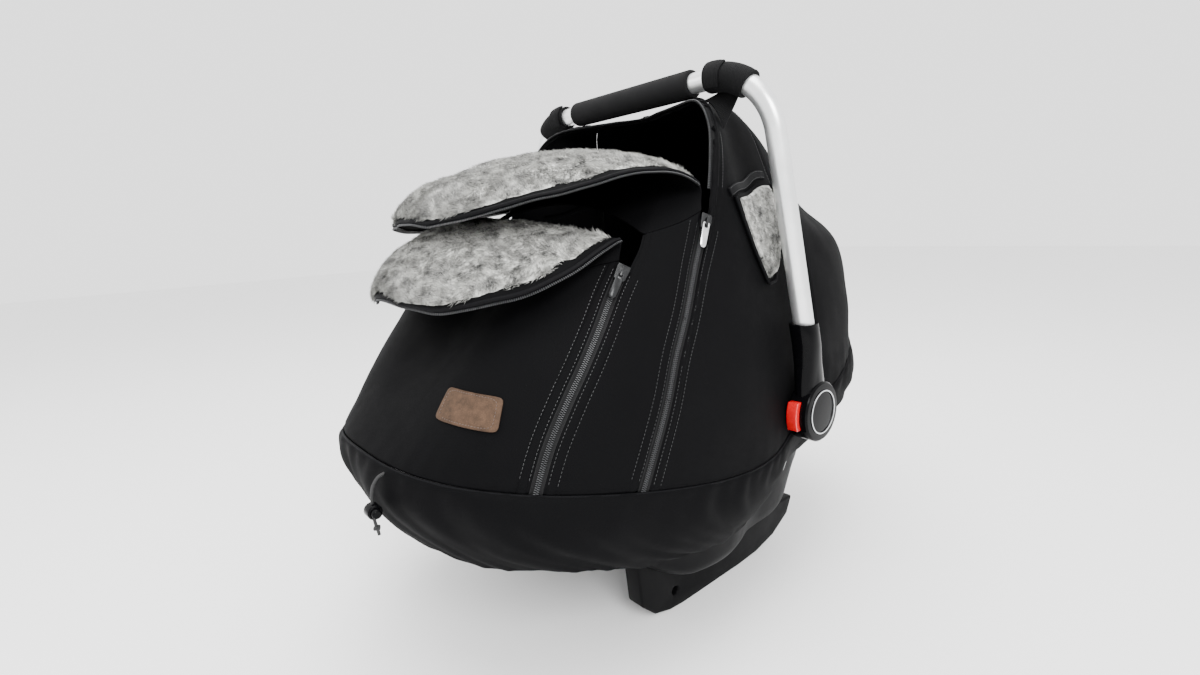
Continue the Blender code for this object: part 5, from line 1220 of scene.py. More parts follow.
@dataclass
class GatheredSkirt:
    """The band below the seam, gathered along its elastic hem."""

    columns: int = 540
    drops: tuple[float, ...] = (0.087, 0.088, 0.048, 0.088)
    drop_turns: tuple[float, ...] = (0.0, 80.0, 120.0, 180.0)
    tuck_share: float = 0.34
    tuck_curve: float = 1.7
    bulge: float = 0.007
    fold_depth: float = 0.0065
    fold_count: int = 11
    hem_wave: float = 0.006
    seam_gap: float = 0.0008
    calm_spread: float = 20.0
    thickness: float = 0.0026
    top_gathers: Gathers = Gathers(0.0017, 0.027, 2.9, 0.061, 0.20)
    hem_gathers: Gathers = Gathers(0.0026, 0.023, 3.4, 0.047, 0.16)
    crease_depth: float = 0.0064
    hem_ripple: float = 0.0045
    gather_take_up: float = 1.06
    stitched_row: int = 27

    def drop(self, turns: np.ndarray) -> np.ndarray:
        """The band's height at each turn."""
        return np.interp(np.abs(turns), self.drop_turns, self.drops)

    def points(self, turns: np.ndarray, shares: np.ndarray, depth: float) -> np.ndarray:
        """Points at shares of the drop, a depth in from the outer face, before the fine gathers."""
        drop = self.drop(turns)
        calm = 1 - 0.95 * bell(np.abs(turns) - HOOD.tuck[1], self.calm_spread)
        angle = np.radians(turns)
        wave = np.sin(self.fold_count * angle + 1.3 * np.sin(2 * angle))
        reach = HOOD.reach(turns) * HOOD.tucked(turns, 1.0)
        reach = reach + calm * self.bulge * np.sin(math.pi * np.minimum(shares, 1))
        reach = reach - self.tuck_share * drop * shares**self.tuck_curve
        reach = reach + calm * self.fold_depth * wave * shares - depth
        height = HOOD.seam(turns) - self.seam_gap - drop * shares + calm * self.hem_wave * wave * shares**2
        return np.stack([reach * np.sin(angle), HOOD.rim_centre_y - reach * np.cos(angle), height], -1)

    def relief(
        self, points: np.ndarray, turns: np.ndarray, shares: np.ndarray, calm: np.ndarray
    ) -> np.ndarray:
        """How far the gathers, creases, rolled top and sewn groove stand out."""
        along = steps_along(points, 0)
        strength = 0.5 + 0.5 * soft_noise(np.stack([along, 0 * along, 0 * along], -1), 0.055, 7.0)
        top_gathers = self.top_gathers.relief(along, shares) * strength
        hem_gathers = self.hem_gathers.relief(along, 1 - shares) * strength
        creases = soft_noise(np.stack([along, points[..., 2] * 0.45, shares * 0.01], -1), 0.034, 4.0)
        creases = self.crease_depth * creases * np.sin(math.pi * np.clip(shares, 0, 1)) ** 0.7
        roll = -0.0016 * bell(shares * self.drop(turns), 0.0018)
        groove = -0.0006 * bell((1 - shares) * self.drop(turns) - 0.014, 0.0011)
        return roll + groove + calm * (top_gathers * ease(shares / 0.04) + hem_gathers + creases)

    def build(self) -> None:
        """Makes the band, its gathers, its hem and the corded seam above it."""
        turns = np.arange(self.columns + 1) * FULL_TURN / self.columns - HALF_TURN
        shares = np.concatenate(
            [[0.0, 0.010, 0.022, 0.036, 0.055], np.linspace(0.085, 0.90, 22), [0.93, 0.955, 0.98, 1.0]]
        )
        grid_turns, grid_shares = np.meshgrid(turns, shares, indexing="ij")
        points = self.points(grid_turns, grid_shares, 0.0)
        along = steps_along(points, 0)
        calm = 1 - 0.9 * bell(np.abs(grid_turns) - HOOD.tuck[1], self.calm_spread)
        out = unit(points - np.array([0.0, HOOD.rim_centre_y, 0.0]))
        out[..., 2] = 0.25 * grid_shares
        out = unit(out)
        offset = self.relief(points, grid_turns, grid_shares, calm)
        ripple = soft_noise(np.stack([along, 0 * along, 0 * along], -1), 0.030, 2.0)
        points[..., 2] += calm * self.hem_ripple * ripple * grid_shares**2
        points = points + offset[..., None] * out
        points[-1] = points[0]
        piece = cloth_between(points, self.thickness, outward=-1.0)
        tidy_normals(piece)
        made = dress(settle(piece, "skirt_cloth"), SOFTSHELL, "root", ["skirt"])
        self.elastic(points[:-1, -1], out[:-1, -1])
        self.piping(turns[:-1:2])
        outs = out[:-1, self.stitched_row]
        StitchLine(points[:-1, self.stitched_row] + 0.0003 * outs, outs).sew("hem_stitching")

    def elastic(self, edge: np.ndarray, out: np.ndarray) -> None:
        """The elastic inside the hem."""
        path = (edge - out * 0.0034 + np.array([0.0, 0.0, 0.0028]))[::2]
        piece = swept(path, np.tile([0.0, 0.0, 1.0], (len(path), 1)), oval(0.0026, 0.0030, 12), closed=True)
        dress(settle(piece, "hem_elastic_band"), WEBBING, "root", ["hem_elastic"])

    def piping(self, turns: np.ndarray) -> None:
        """The corded seam between hood and skirt."""
        cord = HOOD.skin(turns, np.zeros(len(turns))) + np.array([0.0, 0.0, -0.0002])
        outs = unit(cord - np.array([0.0, HOOD.rim_centre_y, 0.0])) * np.array([1.0, 1.0, 0.0])
        piece = swept(cord - 0.0002 * outs, outs, oval(0.0013, 0.0013, 10), closed=True)
        dress(settle(piece, "seam_piping"), BINDING)


@dataclass
class ZipRun:
    """A closed run of zip: two woven tapes and the coil between them."""

    tape_half: float = 0.0058
    tape_drop: float = 0.0016
    pitch: float = 0.0019
    coil_half: float = 0.0013
    coil_height: float = 0.0012

    def coil(
        self, path: np.ndarray, outs: np.ndarray, name: str, body: Optional[str] = "root", rows: int = 2,
        shift: float = 0.0, lift: float = 0.0004,
    ) -> bpy.types.Object:
        """The coil's loops along a path.

        Args:
            path: points of the run.
            outs: the way out at each point.
            name: of the piece.
            body: that it moves with.
            rows: two for a closed run, one for an open half.
            shift: sideways offset of the rows.
            lift: height above the path.

        Returns:
            The loops as one piece.
        """
        halves = []
        for number in range(rows):
            across = shift if rows == 1 else shift + self.coil_half * (1 - 2 * number) * 0.9
            size = (self.pitch * 0.52, self.coil_half * 2.1, self.coil_height)
            loop = small_block(size, 0.00035, (0.0, across, lift))
            half_step = number * self.pitch / 2
            halves.append(repeated(loop, frames_along(path, outs, self.pitch, 0.001 + half_step)))
        make_active(halves[0])
        if len(halves) > 1:
            for half in halves:
                half.select_set(True)
            bpy.ops.object.join()
        return dress(settle(halves[0], name), COIL, body)

    def tape(
        self, path: np.ndarray, outs: np.ndarray, left: float, right: float, name: str, nodes: Sequence[str],
        body: Optional[str] = "root", depth: float = 0.0011,
    ) -> bpy.types.Object:
        """A woven tape between two side distances, with a thicker woven edge."""
        way = np.sign(right - left)
        crest, shoulder, level = 0.0009 * way, 0.0014 * way, 0.0003
        section = np.array(
            [
                (left, -depth),
                (right, -depth),
                (right, 0.0002),
                (right - crest, level),
                (right - shoulder, 0.0),
                (left + shoulder, 0.0),
                (left + crest, level),
                (left, 0.0002),
            ]
        )
        return dress(settle(swept(path, outs, section), name), ZIP_TAPE, body, nodes)

    def build(self) -> None:
        """Makes the four closed runs."""
        for label, table in (("outer", OUTER_ZIP), ("inner", INNER_ZIP)):
            places = through(table, np.linspace(0.0, 0.978, 80))
            for side in Side:
                line = mirrored_places(places, side)
                outs = HOOD.out(line)
                points = HOOD.off(line, np.full(len(line), -self.tape_drop))
                node, half = f"{label}_zip_{side.letter}", self.tape_half
                self.tape(points, outs, -half, half, f"{label}_zip_tape_{side.letter}", [node])
                self.coil(points, outs, f"{label}_zip_coil_{side.letter}")


@dataclass
class DoorwayEdge:
    """The open half of the outer zip round the doorway, with its corded binding."""

    start_turn: float = 79.5
    inner: float = -0.0052
    outer: float = 0.0020
    cord_radius: float = 0.0016
    tape_drop: float = 0.0004
    cord_beside: float = -0.0058
    cord_lift: float = 0.0006

    def build(self) -> None:
        """Makes the tape, its coil and the cord under the binding."""
        places = doorway(self.start_turn, FULL_TURN - self.start_turn, 260)
        outs = HOOD.out(places)
        points = HOOD.off(places, np.full(len(places), -self.tape_drop))
        zip_run = ZipRun()
        zip_run.tape(points, outs, self.inner, self.outer, "doorway_zip_tape", ["doorway_tape"], depth=0.0014)
        zip_run.coil(points, outs, "doorway_zip_coil", rows=1, shift=self.outer - 0.0007, lift=0.0002)
        cord = HOOD.off(HOOD.beside(places, self.cord_beside), np.full(len(places), self.cord_lift))
        piece = swept(cord, outs, oval(self.cord_radius, self.cord_radius, 10))
        dress(settle(piece, "doorway_piping"), BINDING)


@dataclass
class Pile:
    """Brushed fibres that stand and lean on a fleece."""

    spacing: float = 0.00145
    length: float = 0.0078
    width: float = 0.0010
    sunk: float = 0.0006

    def grow(
        self, grid: np.ndarray, outs: np.ndarray, name: str, body: Optional[str], margin: float = 0.5
    ) -> bpy.types.Object:
        """The pile on a grid of points.

        Args:
            grid: points of the fleece's upper face.
            outs: the way out at each point.
            name: of the piece.
            body: that it moves with.
            margin: grid steps left free at the border.

        Returns:
            The tufts as one piece.
        """
        random = np.random.default_rng(SEED)
        count = int(outer_area(grid) / self.spacing**2)
        rows, columns = grid.shape[:2]
        i = random.uniform(margin, rows - 1 - margin, count)
        j = random.uniform(margin, columns - 1 - margin, count)
        roots, up = between_points(grid, i, j), unit(between_points(outs, i, j))
        along = unit(between_points(np.gradient(grid, axis=1), i, j))
        across = np.cross(up, along)
        heading = 2.9 * soft_noise(roots, 0.030, 3.0) + 1.3 * soft_noise(roots, 0.011, 9.0)
        heading = heading + random.normal(0, 0.22, count)
        flow = np.cos(heading)[:, None] * along + np.sin(heading)[:, None] * across
        lean = 1.0 + 0.25 * random.random(count)
        tips = unit(up * (1.15 - 0.5 * lean)[:, None] + flow * lean[:, None])
        sides = unit(np.cross(tips, up))
        thick = np.cross(sides, tips)
        clump = 0.85 + 0.35 * soft_noise(roots, 0.012, 5.0)
        tall = self.length * (0.7 + 0.6 * random.random(count)) * clump
        feet = roots - up * self.sunk
        matrices = np.stack([tips * tall[:, None], sides * self.width, thick * self.width, feet], -1)
        lying = (0, math.pi / 2, 0)
        bpy.ops.mesh.primitive_cone_add(
            vertices=3, radius1=0.5, radius2=0.0, depth=1.0, location=(0.5, 0, 0), rotation=lying
        )
        tuft = bpy.context.object
        tuft.data.transform(tuft.matrix_world)
        tuft.matrix_world = Matrix.Identity(4)
        return dress(settle(repeated(tuft, matrices), name, 180.0), FLEECE, body)


@dataclass
class PeeledFlap:
    """A doorway flap folded forward: cloth below, fleece above, half a zip round its edge."""

    label: str
    table: tuple[tuple[float, float, float, float, float], ...]
    fold_back: tuple[float, float, float]
    fold_fore: tuple[float, float, float]
    edge_curve: float = 2.2
    columns: int = 81
    rows: int = 61
    thickness: float = 0.0022
    fleece: float = 0.0032
    tape_width: float = 0.0052
    sag: float = 0.0018
    far_droop: float = 0.0
    start_row: int = 9
    edge_step: float = 0.0055

    @property
    def body(self) -> str:
        """Name of the flap's body; its pieces are not attached to it."""
        return f"{self.label}_flap"

    def surface(self, root: np.ndarray) -> np.ndarray:
        """Points of the flap by column and row."""
        across = np.linspace(-1, 1, self.columns)
        bow = np.abs(across) ** self.edge_curve
        rows = [root]
        for half_width, edge_y, edge_z, centre_y, centre_z in self.table:
            y, z = centre_y + (edge_y - centre_y) * bow, centre_z + (edge_z - centre_z) * bow
            rows.append(np.stack([half_width * across, y, z], -1))
        grid = through(np.array(rows), np.linspace(0, 1, self.rows)).transpose(1, 0, 2)
        forth = np.linspace(0, 1, self.rows)
        free = ease(forth / 0.35)[None]
        grid[..., 2] -= self.far_droop * free * ease((1 - forth) / 0.45)[None] * ease(-across / 0.9)[:, None]
        grid[..., 2] += self.sag * free * (soft_noise(grid, 0.06, 2.0) + 0.5 * soft_noise(grid, 0.028, 8.0))
        return grid

    def blend(self, piece: bpy.types.Object) -> bpy.types.Object:
        """Bakes the piece's placement into its mesh."""
        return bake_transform(piece, "root", self.body, start=row(self.fold_back), end=row(self.fold_fore))

    def build(self, root: np.ndarray) -> None:
        """Makes the flap from the row of points along its fold."""
        grid = self.surface(root)
        outs = -grid_normals(grid)
        cloth = cloth_between(grid, self.thickness, outward=-1.0)
        piece = dress(settle(cloth, f"{self.label}_flap_cloth"), SOFTSHELL, None, [f"{self.label}_flap"])
        self.blend(piece)
        self.lining(grid, outs)
        self.edge(grid, outs)

    def lining(self, grid: np.ndarray, outs: np.ndarray) -> None:
        """The fleece, crowned over its middle, and its pile."""
        inner = grid[1:-1, self.start_row : -1]
        out = outs[1:-1, self.start_row : -1]
        crown = cushion(inner.shape[:2], 0.75, 9)
        lumps = 0.0013 * soft_noise(inner, 0.016, 6.0) + 0.0007 * soft_noise(inner, 0.006, 1.0)
        top = inner + out * (0.0010 + self.fleece * crown + lumps * crown)[..., None]
        piece = closed_between(top, inner + out * 0.0004)
        made = dress(settle(piece, f"{self.label}_flap_fleece"), FLEECE, None, [f"{self.label}_flap_lining"])
        self.blend(made)
        normals = grid_normals(top)
        normals = normals * np.sign((normals * out).sum(-1, keepdims=True))
        self.blend(Pile().grow(top, normals, f"{self.label}_flap_pile", None))

    def edge(self, grid: np.ndarray, outs: np.ndarray) -> None:
        """The half zip sewn round the free edge."""
        path, normals = (round_free_edge(field, self.start_row) for field in (grid, outs))
        normals = unit(normals)
        lengths = steps_along(path, 0)
        even = np.linspace(0, lengths[-1], int(lengths[-1] / self.edge_step))
        path, normals = read_along(path, lengths, even), unit(read_along(normals, lengths, even))
        tangents = unit(np.gradient(path, axis=0))
        outward = np.cross(normals, tangents)
        middle = grid.reshape(-1, 3).mean(0)
        sign = 1.0 if ((path - middle) * outward).sum() > 0 else -1.0
        zip_run = ZipRun()
        tape = zip_run.tape(
            path, normals, sign * -0.0012, sign * self.tape_width, f"{self.label}_flap_zip_tape",
            [f"{self.label}_flap_tape"], None, depth=0.0013,
        )
        self.blend(tape)
        beside = sign * (self.tape_width - 0.0006)
        coil = zip_run.coil(
            path, normals, f"{self.label}_flap_zip_coil", None, rows=1, shift=beside, lift=0.0
        )
        self.blend(coil)
        seam = path + outward * sign * 0.0010 + normals * 0.0012
        binding = swept(seam, normals, oval(0.0021, 0.0017, 10))
        self.blend(dress(settle(binding, f"{self.label}_flap_binding"), BINDING, None))


def round_free_edge(grid: np.ndarray, start: int) -> np.ndarray:
    """A grid's values along its last column of points, its last row and back along its first column."""
    return np.concatenate([grid[-1, start:], grid[-2:0:-1, -1], grid[0, : start - 1 : -1]])


def cushion(shape: tuple[int, int], fall: float, power: float) -> np.ndarray:
    """Heights that are 1 over a grid's middle and fall near its border."""
    across = np.abs(np.linspace(-1, 1, shape[0]))[:, None]
    along = np.abs(np.linspace(-1, 1, shape[1]))[None]
    return 1 - fall * np.maximum(across, along) ** power


def closed_between(top: np.ndarray, foot: np.ndarray) -> bpy.types.Object:
    """A closed body between two grids of the same shape."""
    rows, columns = top.shape[:2]
    loop = np.concatenate([top, foot[:, ::-1]], 1)
    ring = np.concatenate([loop, loop[:, :1]], 1)
    piece = laid_grid(ring)
    with editing(piece):
        bpy.ops.mesh.remove_doubles(threshold=MERGE_DISTANCE)
    work = bmesh.new()
    work.from_mesh(piece.data)
    work.verts.ensure_lookup_table()
    tree = {tuple(round(v, 6) for v in vertex.co): vertex for vertex in work.verts}
    for end in (0, rows - 1):
        for j in range(columns - 1):
            spots = [top[end, j], top[end, j + 1], foot[end, j + 1], foot[end, j]]
            corners = [nearest_corner(tree, spot) for spot in spots]
            if None not in corners and len(set(corners)) == 4:
                work.faces.new(corners)
    work.to_mesh(piece.data)
    work.free()
    tidy_normals(piece)
    return piece


def nearest_corner(tree: dict, spot: np.ndarray) -> Optional[bmesh.types.BMVert]:
    """The vertex at a point, if there is one."""
    spot32 = np.asarray(spot, np.float32).astype(float)
    key = tuple(round(float(v), 6) for v in spot32)
    found = tree.get(key)
    if found:
        return found
    for steps in product((-MERGE_DISTANCE, 0.0, MERGE_DISTANCE), repeat=3):
        found = tree.get(tuple(round(value + step, 6) for value, step in zip(key, steps)))
        if found:
            return found
    return None


# Each flap's rows from its fold to its tip: half width, then y and z of the edge, then y and z of the middle
UPPER_TABLE = (
    (0.176, -0.096, 0.491, -0.086, 0.519),
    (0.171, -0.130, 0.504, -0.114, 0.532),
    (0.162, -0.178, 0.503, -0.168, 0.532),
    (0.148, -0.228, 0.491, -0.223, 0.523),
    (0.124, -0.272, 0.480, -0.270, 0.508),
    (0.088, -0.303, 0.472, -0.306, 0.494),
    (0.034, -0.322, 0.467, -0.326, 0.470),
)
LOWER_TABLE = (
    (0.168, -0.200, 0.441, -0.216, 0.447),
    (0.166, -0.222, 0.434, -0.232, 0.461),
    (0.157, -0.256, 0.416, -0.262, 0.462),
    (0.140, -0.284, 0.404, -0.294, 0.453),
    (0.112, -0.312, 0.395, -0.324, 0.438),
    (0.074, -0.338, 0.389, -0.347, 0.418),
    (0.028, -0.355, 0.394, -0.360, 0.400),
)
# Where each fold begins and where it ends, before the shift to the frame of the solids
UPPER_FOLD = ((0.0, -0.0974, 0.4661), (0.0, -0.135, 0.50))
LOWER_FOLD = ((0.0, -0.1992, 0.4232), (0.0, -0.226, 0.43))


def flap_roots(columns: int) -> tuple[np.ndarray, np.ndarray]:
    """Rows of points where the upper and the lower flap leave their panels."""
    inner, outer = HoodCloth().strip_edges()
    lift, strip_share, centre = 0.0006, 0.72, (-0.146, 0.482)
    across = np.linspace(-1, 1, columns)
    inner_corner = HOOD.skin(*inner[-1])
    upper = []
    for share in across:
        size = abs(share)
        if size >= strip_share:
            turn, rise = inner[-1] + (outer[-1] - inner[-1]) * (size - strip_share) / (1 - strip_share)
            point = HOOD.skin(turn, rise)
        else:
            inward = 1 - (size / strip_share) ** 2
            point = np.array(
                [
                    inner_corner[0] * size / strip_share,
                    inner_corner[1] + (centre[0] - inner_corner[1]) * inward,
                    inner_corner[2] + (centre[1] - inner_corner[2]) * inward,
                ]
            )
        upper.append([math.copysign(point[0], share) if size else 0.0, point[1], point[2] + lift])
    front = HOOD.beside(inner_zip(11), ZIP_HALF_CHANNEL)[-1]
    lower = HOOD.skin(across * front[0], np.full(columns, front[1]))
    lower[:, 2] += lift
    return np.array(upper), lower


@dataclass
class VentFlap:
    """A side vent's flap turned down, fleece side out, and the binding above its slot."""

    front_turns: tuple[float, ...] = (90.5, 94.0, 97.6, 101.2, 104.8)
    rear_turns: tuple[float, ...] = (122.5, 124.0, 121.5, 116.5, 109.4)
    root_rises: tuple[float, float] = (38.0, 43.9)
    band_rises: tuple[float, float] = (38.4, 45.2)
    tip_rise: float = 26.2
    cloth: float = 0.0020
    fleece: float = 0.0052
    edge_turns: tuple[float, float] = (88.5, 121.0)
    cloth_gap: float = 0.0007
    count: int = 41
    fleece_count: int = 45
    fleece_inset: float = 0.075

    def places(self, columns: int, rows: int, inset: float) -> np.ndarray:
        """Places of the flap by column and row."""
        down = np.linspace(inset * 0.5, 1 - inset, rows)
        front, rear = through(self.front_turns, down), through(self.rear_turns, down)
        across = np.linspace(inset, 1 - inset, columns)[:, None]
        turns = front[None] + (rear - front)[None] * across
        root = self.root_rises[0] + (self.root_rises[1] - self.root_rises[0]) * across
        return np.stack([turns, root + (self.tip_rise - root) * down[None]], -1)

    def build(self) -> None:
        """Makes both flaps."""
        for side in Side:
            self.turned_down(side)
            self.lining(side)
            self.edge(side)
            self.top_binding(side)

    def outer_places(self, side: Side) -> np.ndarray:
        """Places of the flap's cloth."""
        return mirrored_places(self.places(self.count, self.count, 0.0), side)

    def cloth_grid(self, side: Side) -> np.ndarray:
        """Points of the flap's cloth."""
        places = self.outer_places(side)
        hanging = ease((self.root_rises[0] - places[..., 1]) / 6)
        return HOOD.off(places, self.cloth_gap + self.cloth + 0.0006 * hanging)

    def turned_down(self, side: Side) -> None:
        """The flap's cloth."""
        grid, letter = self.cloth_grid(side), side.letter
        piece = cloth_between(grid, self.cloth, outward=side.value)
        body = f"vent_flap_{letter}"
        made = dress(settle(piece, f"vent_cloth_{letter}"), SOFTSHELL, body, [f"vent_flap_{letter}"])

    def lining(self, side: Side) -> None:
        """The flap's fleece and its pile."""
        letter, body = side.letter, f"vent_flap_{side.letter}"
        inner = mirrored_places(self.places(self.fleece_count, self.fleece_count, self.fleece_inset), side)
        outs = HOOD.out(inner)
        base = HOOD.off(inner, np.full(inner.shape[:2], self.cloth_gap + self.cloth))
        lumps = 0.0010 * soft_noise(base, 0.014, 4.0) + 0.0005 * soft_noise(base, 0.006, 2.0)
        top = base + outs * (0.0009 + (self.fleece + lumps) * cushion(inner.shape[:2], 0.7, 7))[..., None]
        fleece = closed_between(top, base + outs * 0.0003)
        lined = dress(settle(fleece, f"vent_fleece_{letter}"), FLEECE, body, [f"vent_flap_lining_{letter}"])
        Pile(length=0.0055).grow(top, outs, f"vent_pile_{letter}", body)

    def edge(self, side: Side) -> None:
        """The binding round the flap's free edge."""
        grid, places = (
            np.concatenate([field[0, :], field[1:, -1], field[-1, -2::-1]])
            for field in (self.cloth_grid(side), self.outer_places(side))
        )
        outs = HOOD.out(places)
        binding = swept(grid + outs * 0.0006, outs, oval(0.0017, 0.0017, 10))
        dress(settle(binding, f"vent_edge_binding_{side.letter}"), BINDING, f"vent_flap_{side.letter}")

    def top_binding(self, side: Side) -> None:
        """The folded binding above the slot, with its two lines of stitches."""
        letter = side.letter
        ends = np.array([self.edge_turns, self.band_rises])
        middle = np.stack([np.linspace(*turns_or_rises, self.count) for turns_or_rises in ends], -1)
        band = mirrored_places(middle, side)
        half = ((0.0048, 0.0), (0.0048, 0.0012), (0.0040, 0.0020))
        section = np.array([(-across, up) for across, up in half] + list(reversed(half)))
        strip = swept(HOOD.off(band, np.full(self.count, 0.0003)), HOOD.out(band), section)
        dress(settle(strip, f"vent_top_binding_{letter}"), BINDING, "root", [f"vent_binding_{letter}"])
        for offset in (-0.0036, 0.0036):
            line = mirrored_places(HOOD.beside(middle, offset), side)
            name = f"vent_stitching_{offset:+.4f}_{letter}".replace("+", "p")
            StitchLine(HOOD.off(line, np.full(self.count, 0.0024)), HOOD.out(line)).sew(name)


@dataclass(frozen=True)
class HandleFrame:
    """The carry handle's middle line and sizes."""

    hub_y: float = 0.051
    hub_z: float = 0.228
    bar_y: float = -0.015
    bar_z: float = 0.609
    foot_x: float = 0.2225
    corner_x: float = 0.2009
    corner_radius: float = 0.071
    foot_z: float = 0.310
    tube_radius: float = 0.0115
    grip_half: float = 0.105
    grip_radius: float = 0.0158
    strap_along: tuple[float, float] = (0.128, 0.182)
    strap_gap: float = 0.0008
    strap_thickness: float = 0.0034

    @property
    def rear(self) -> np.ndarray:
        """The direction square to the handle's plane."""
        return unit(np.array([0.0, self.bar_z - self.hub_z, self.hub_y - self.bar_y]))

    def path(self, steps: int = 28) -> np.ndarray:
        """Middle line from the bar's middle to the near foot."""
        corner, foot = np.array([self.corner_x, self.bar_z]), np.array([self.foot_x, self.foot_z])
        down, inward = unit(foot - corner), np.array([-1.0, 0.0])
        half_angle = math.acos(float(down.dot(inward))) / 2
        tangent = self.corner_radius / math.tan(half_angle)
        centre = corner + unit(down + inward) * self.corner_radius / math.sin(half_angle)
        start, finish = corner + inward * tangent - centre, corner + down * tangent - centre
        angles = np.linspace(math.atan2(start[1], start[0]), math.atan2(finish[1], finish[0]), steps)
        arc = centre + self.corner_radius * np.stack([np.cos(angles), np.sin(angles)], -1)
        plane = np.concatenate([[[0.0, self.bar_z]], arc, [foot]])
        lean = self.hub_y + (self.bar_y - self.hub_y) * (plane[:, 1] - self.hub_z) / (self.bar_z - self.hub_z)
        return np.stack([plane[:, 0], lean, plane[:, 1]], -1)

    def at(self, distances: np.ndarray) -> np.ndarray:
        """Points of the middle line at distances from the bar's middle."""
        path = self.path()
        lengths = steps_along(path, 0)
        return read_along(path, lengths, np.abs(distances))

    def round(self, distances: np.ndarray, angles: np.ndarray, radius: np.ndarray) -> np.ndarray:
        """Points round the tube: 0 is below, 90 behind, 180 above and 270 in front."""
        middle = self.at(distances)
        tangent = unit(self.at(distances + 0.005) - self.at(distances - 0.005))
        down = np.cross(np.broadcast_to(self.rear, tangent.shape), tangent)
        turn = np.radians(angles)
        ring = np.cos(turn)[None, :, None] * down[:, None] + np.sin(turn)[None, :, None] * self.rear
        return middle[:, None] + np.asarray(radius)[..., None] * ring


HANDLE = HandleFrame()


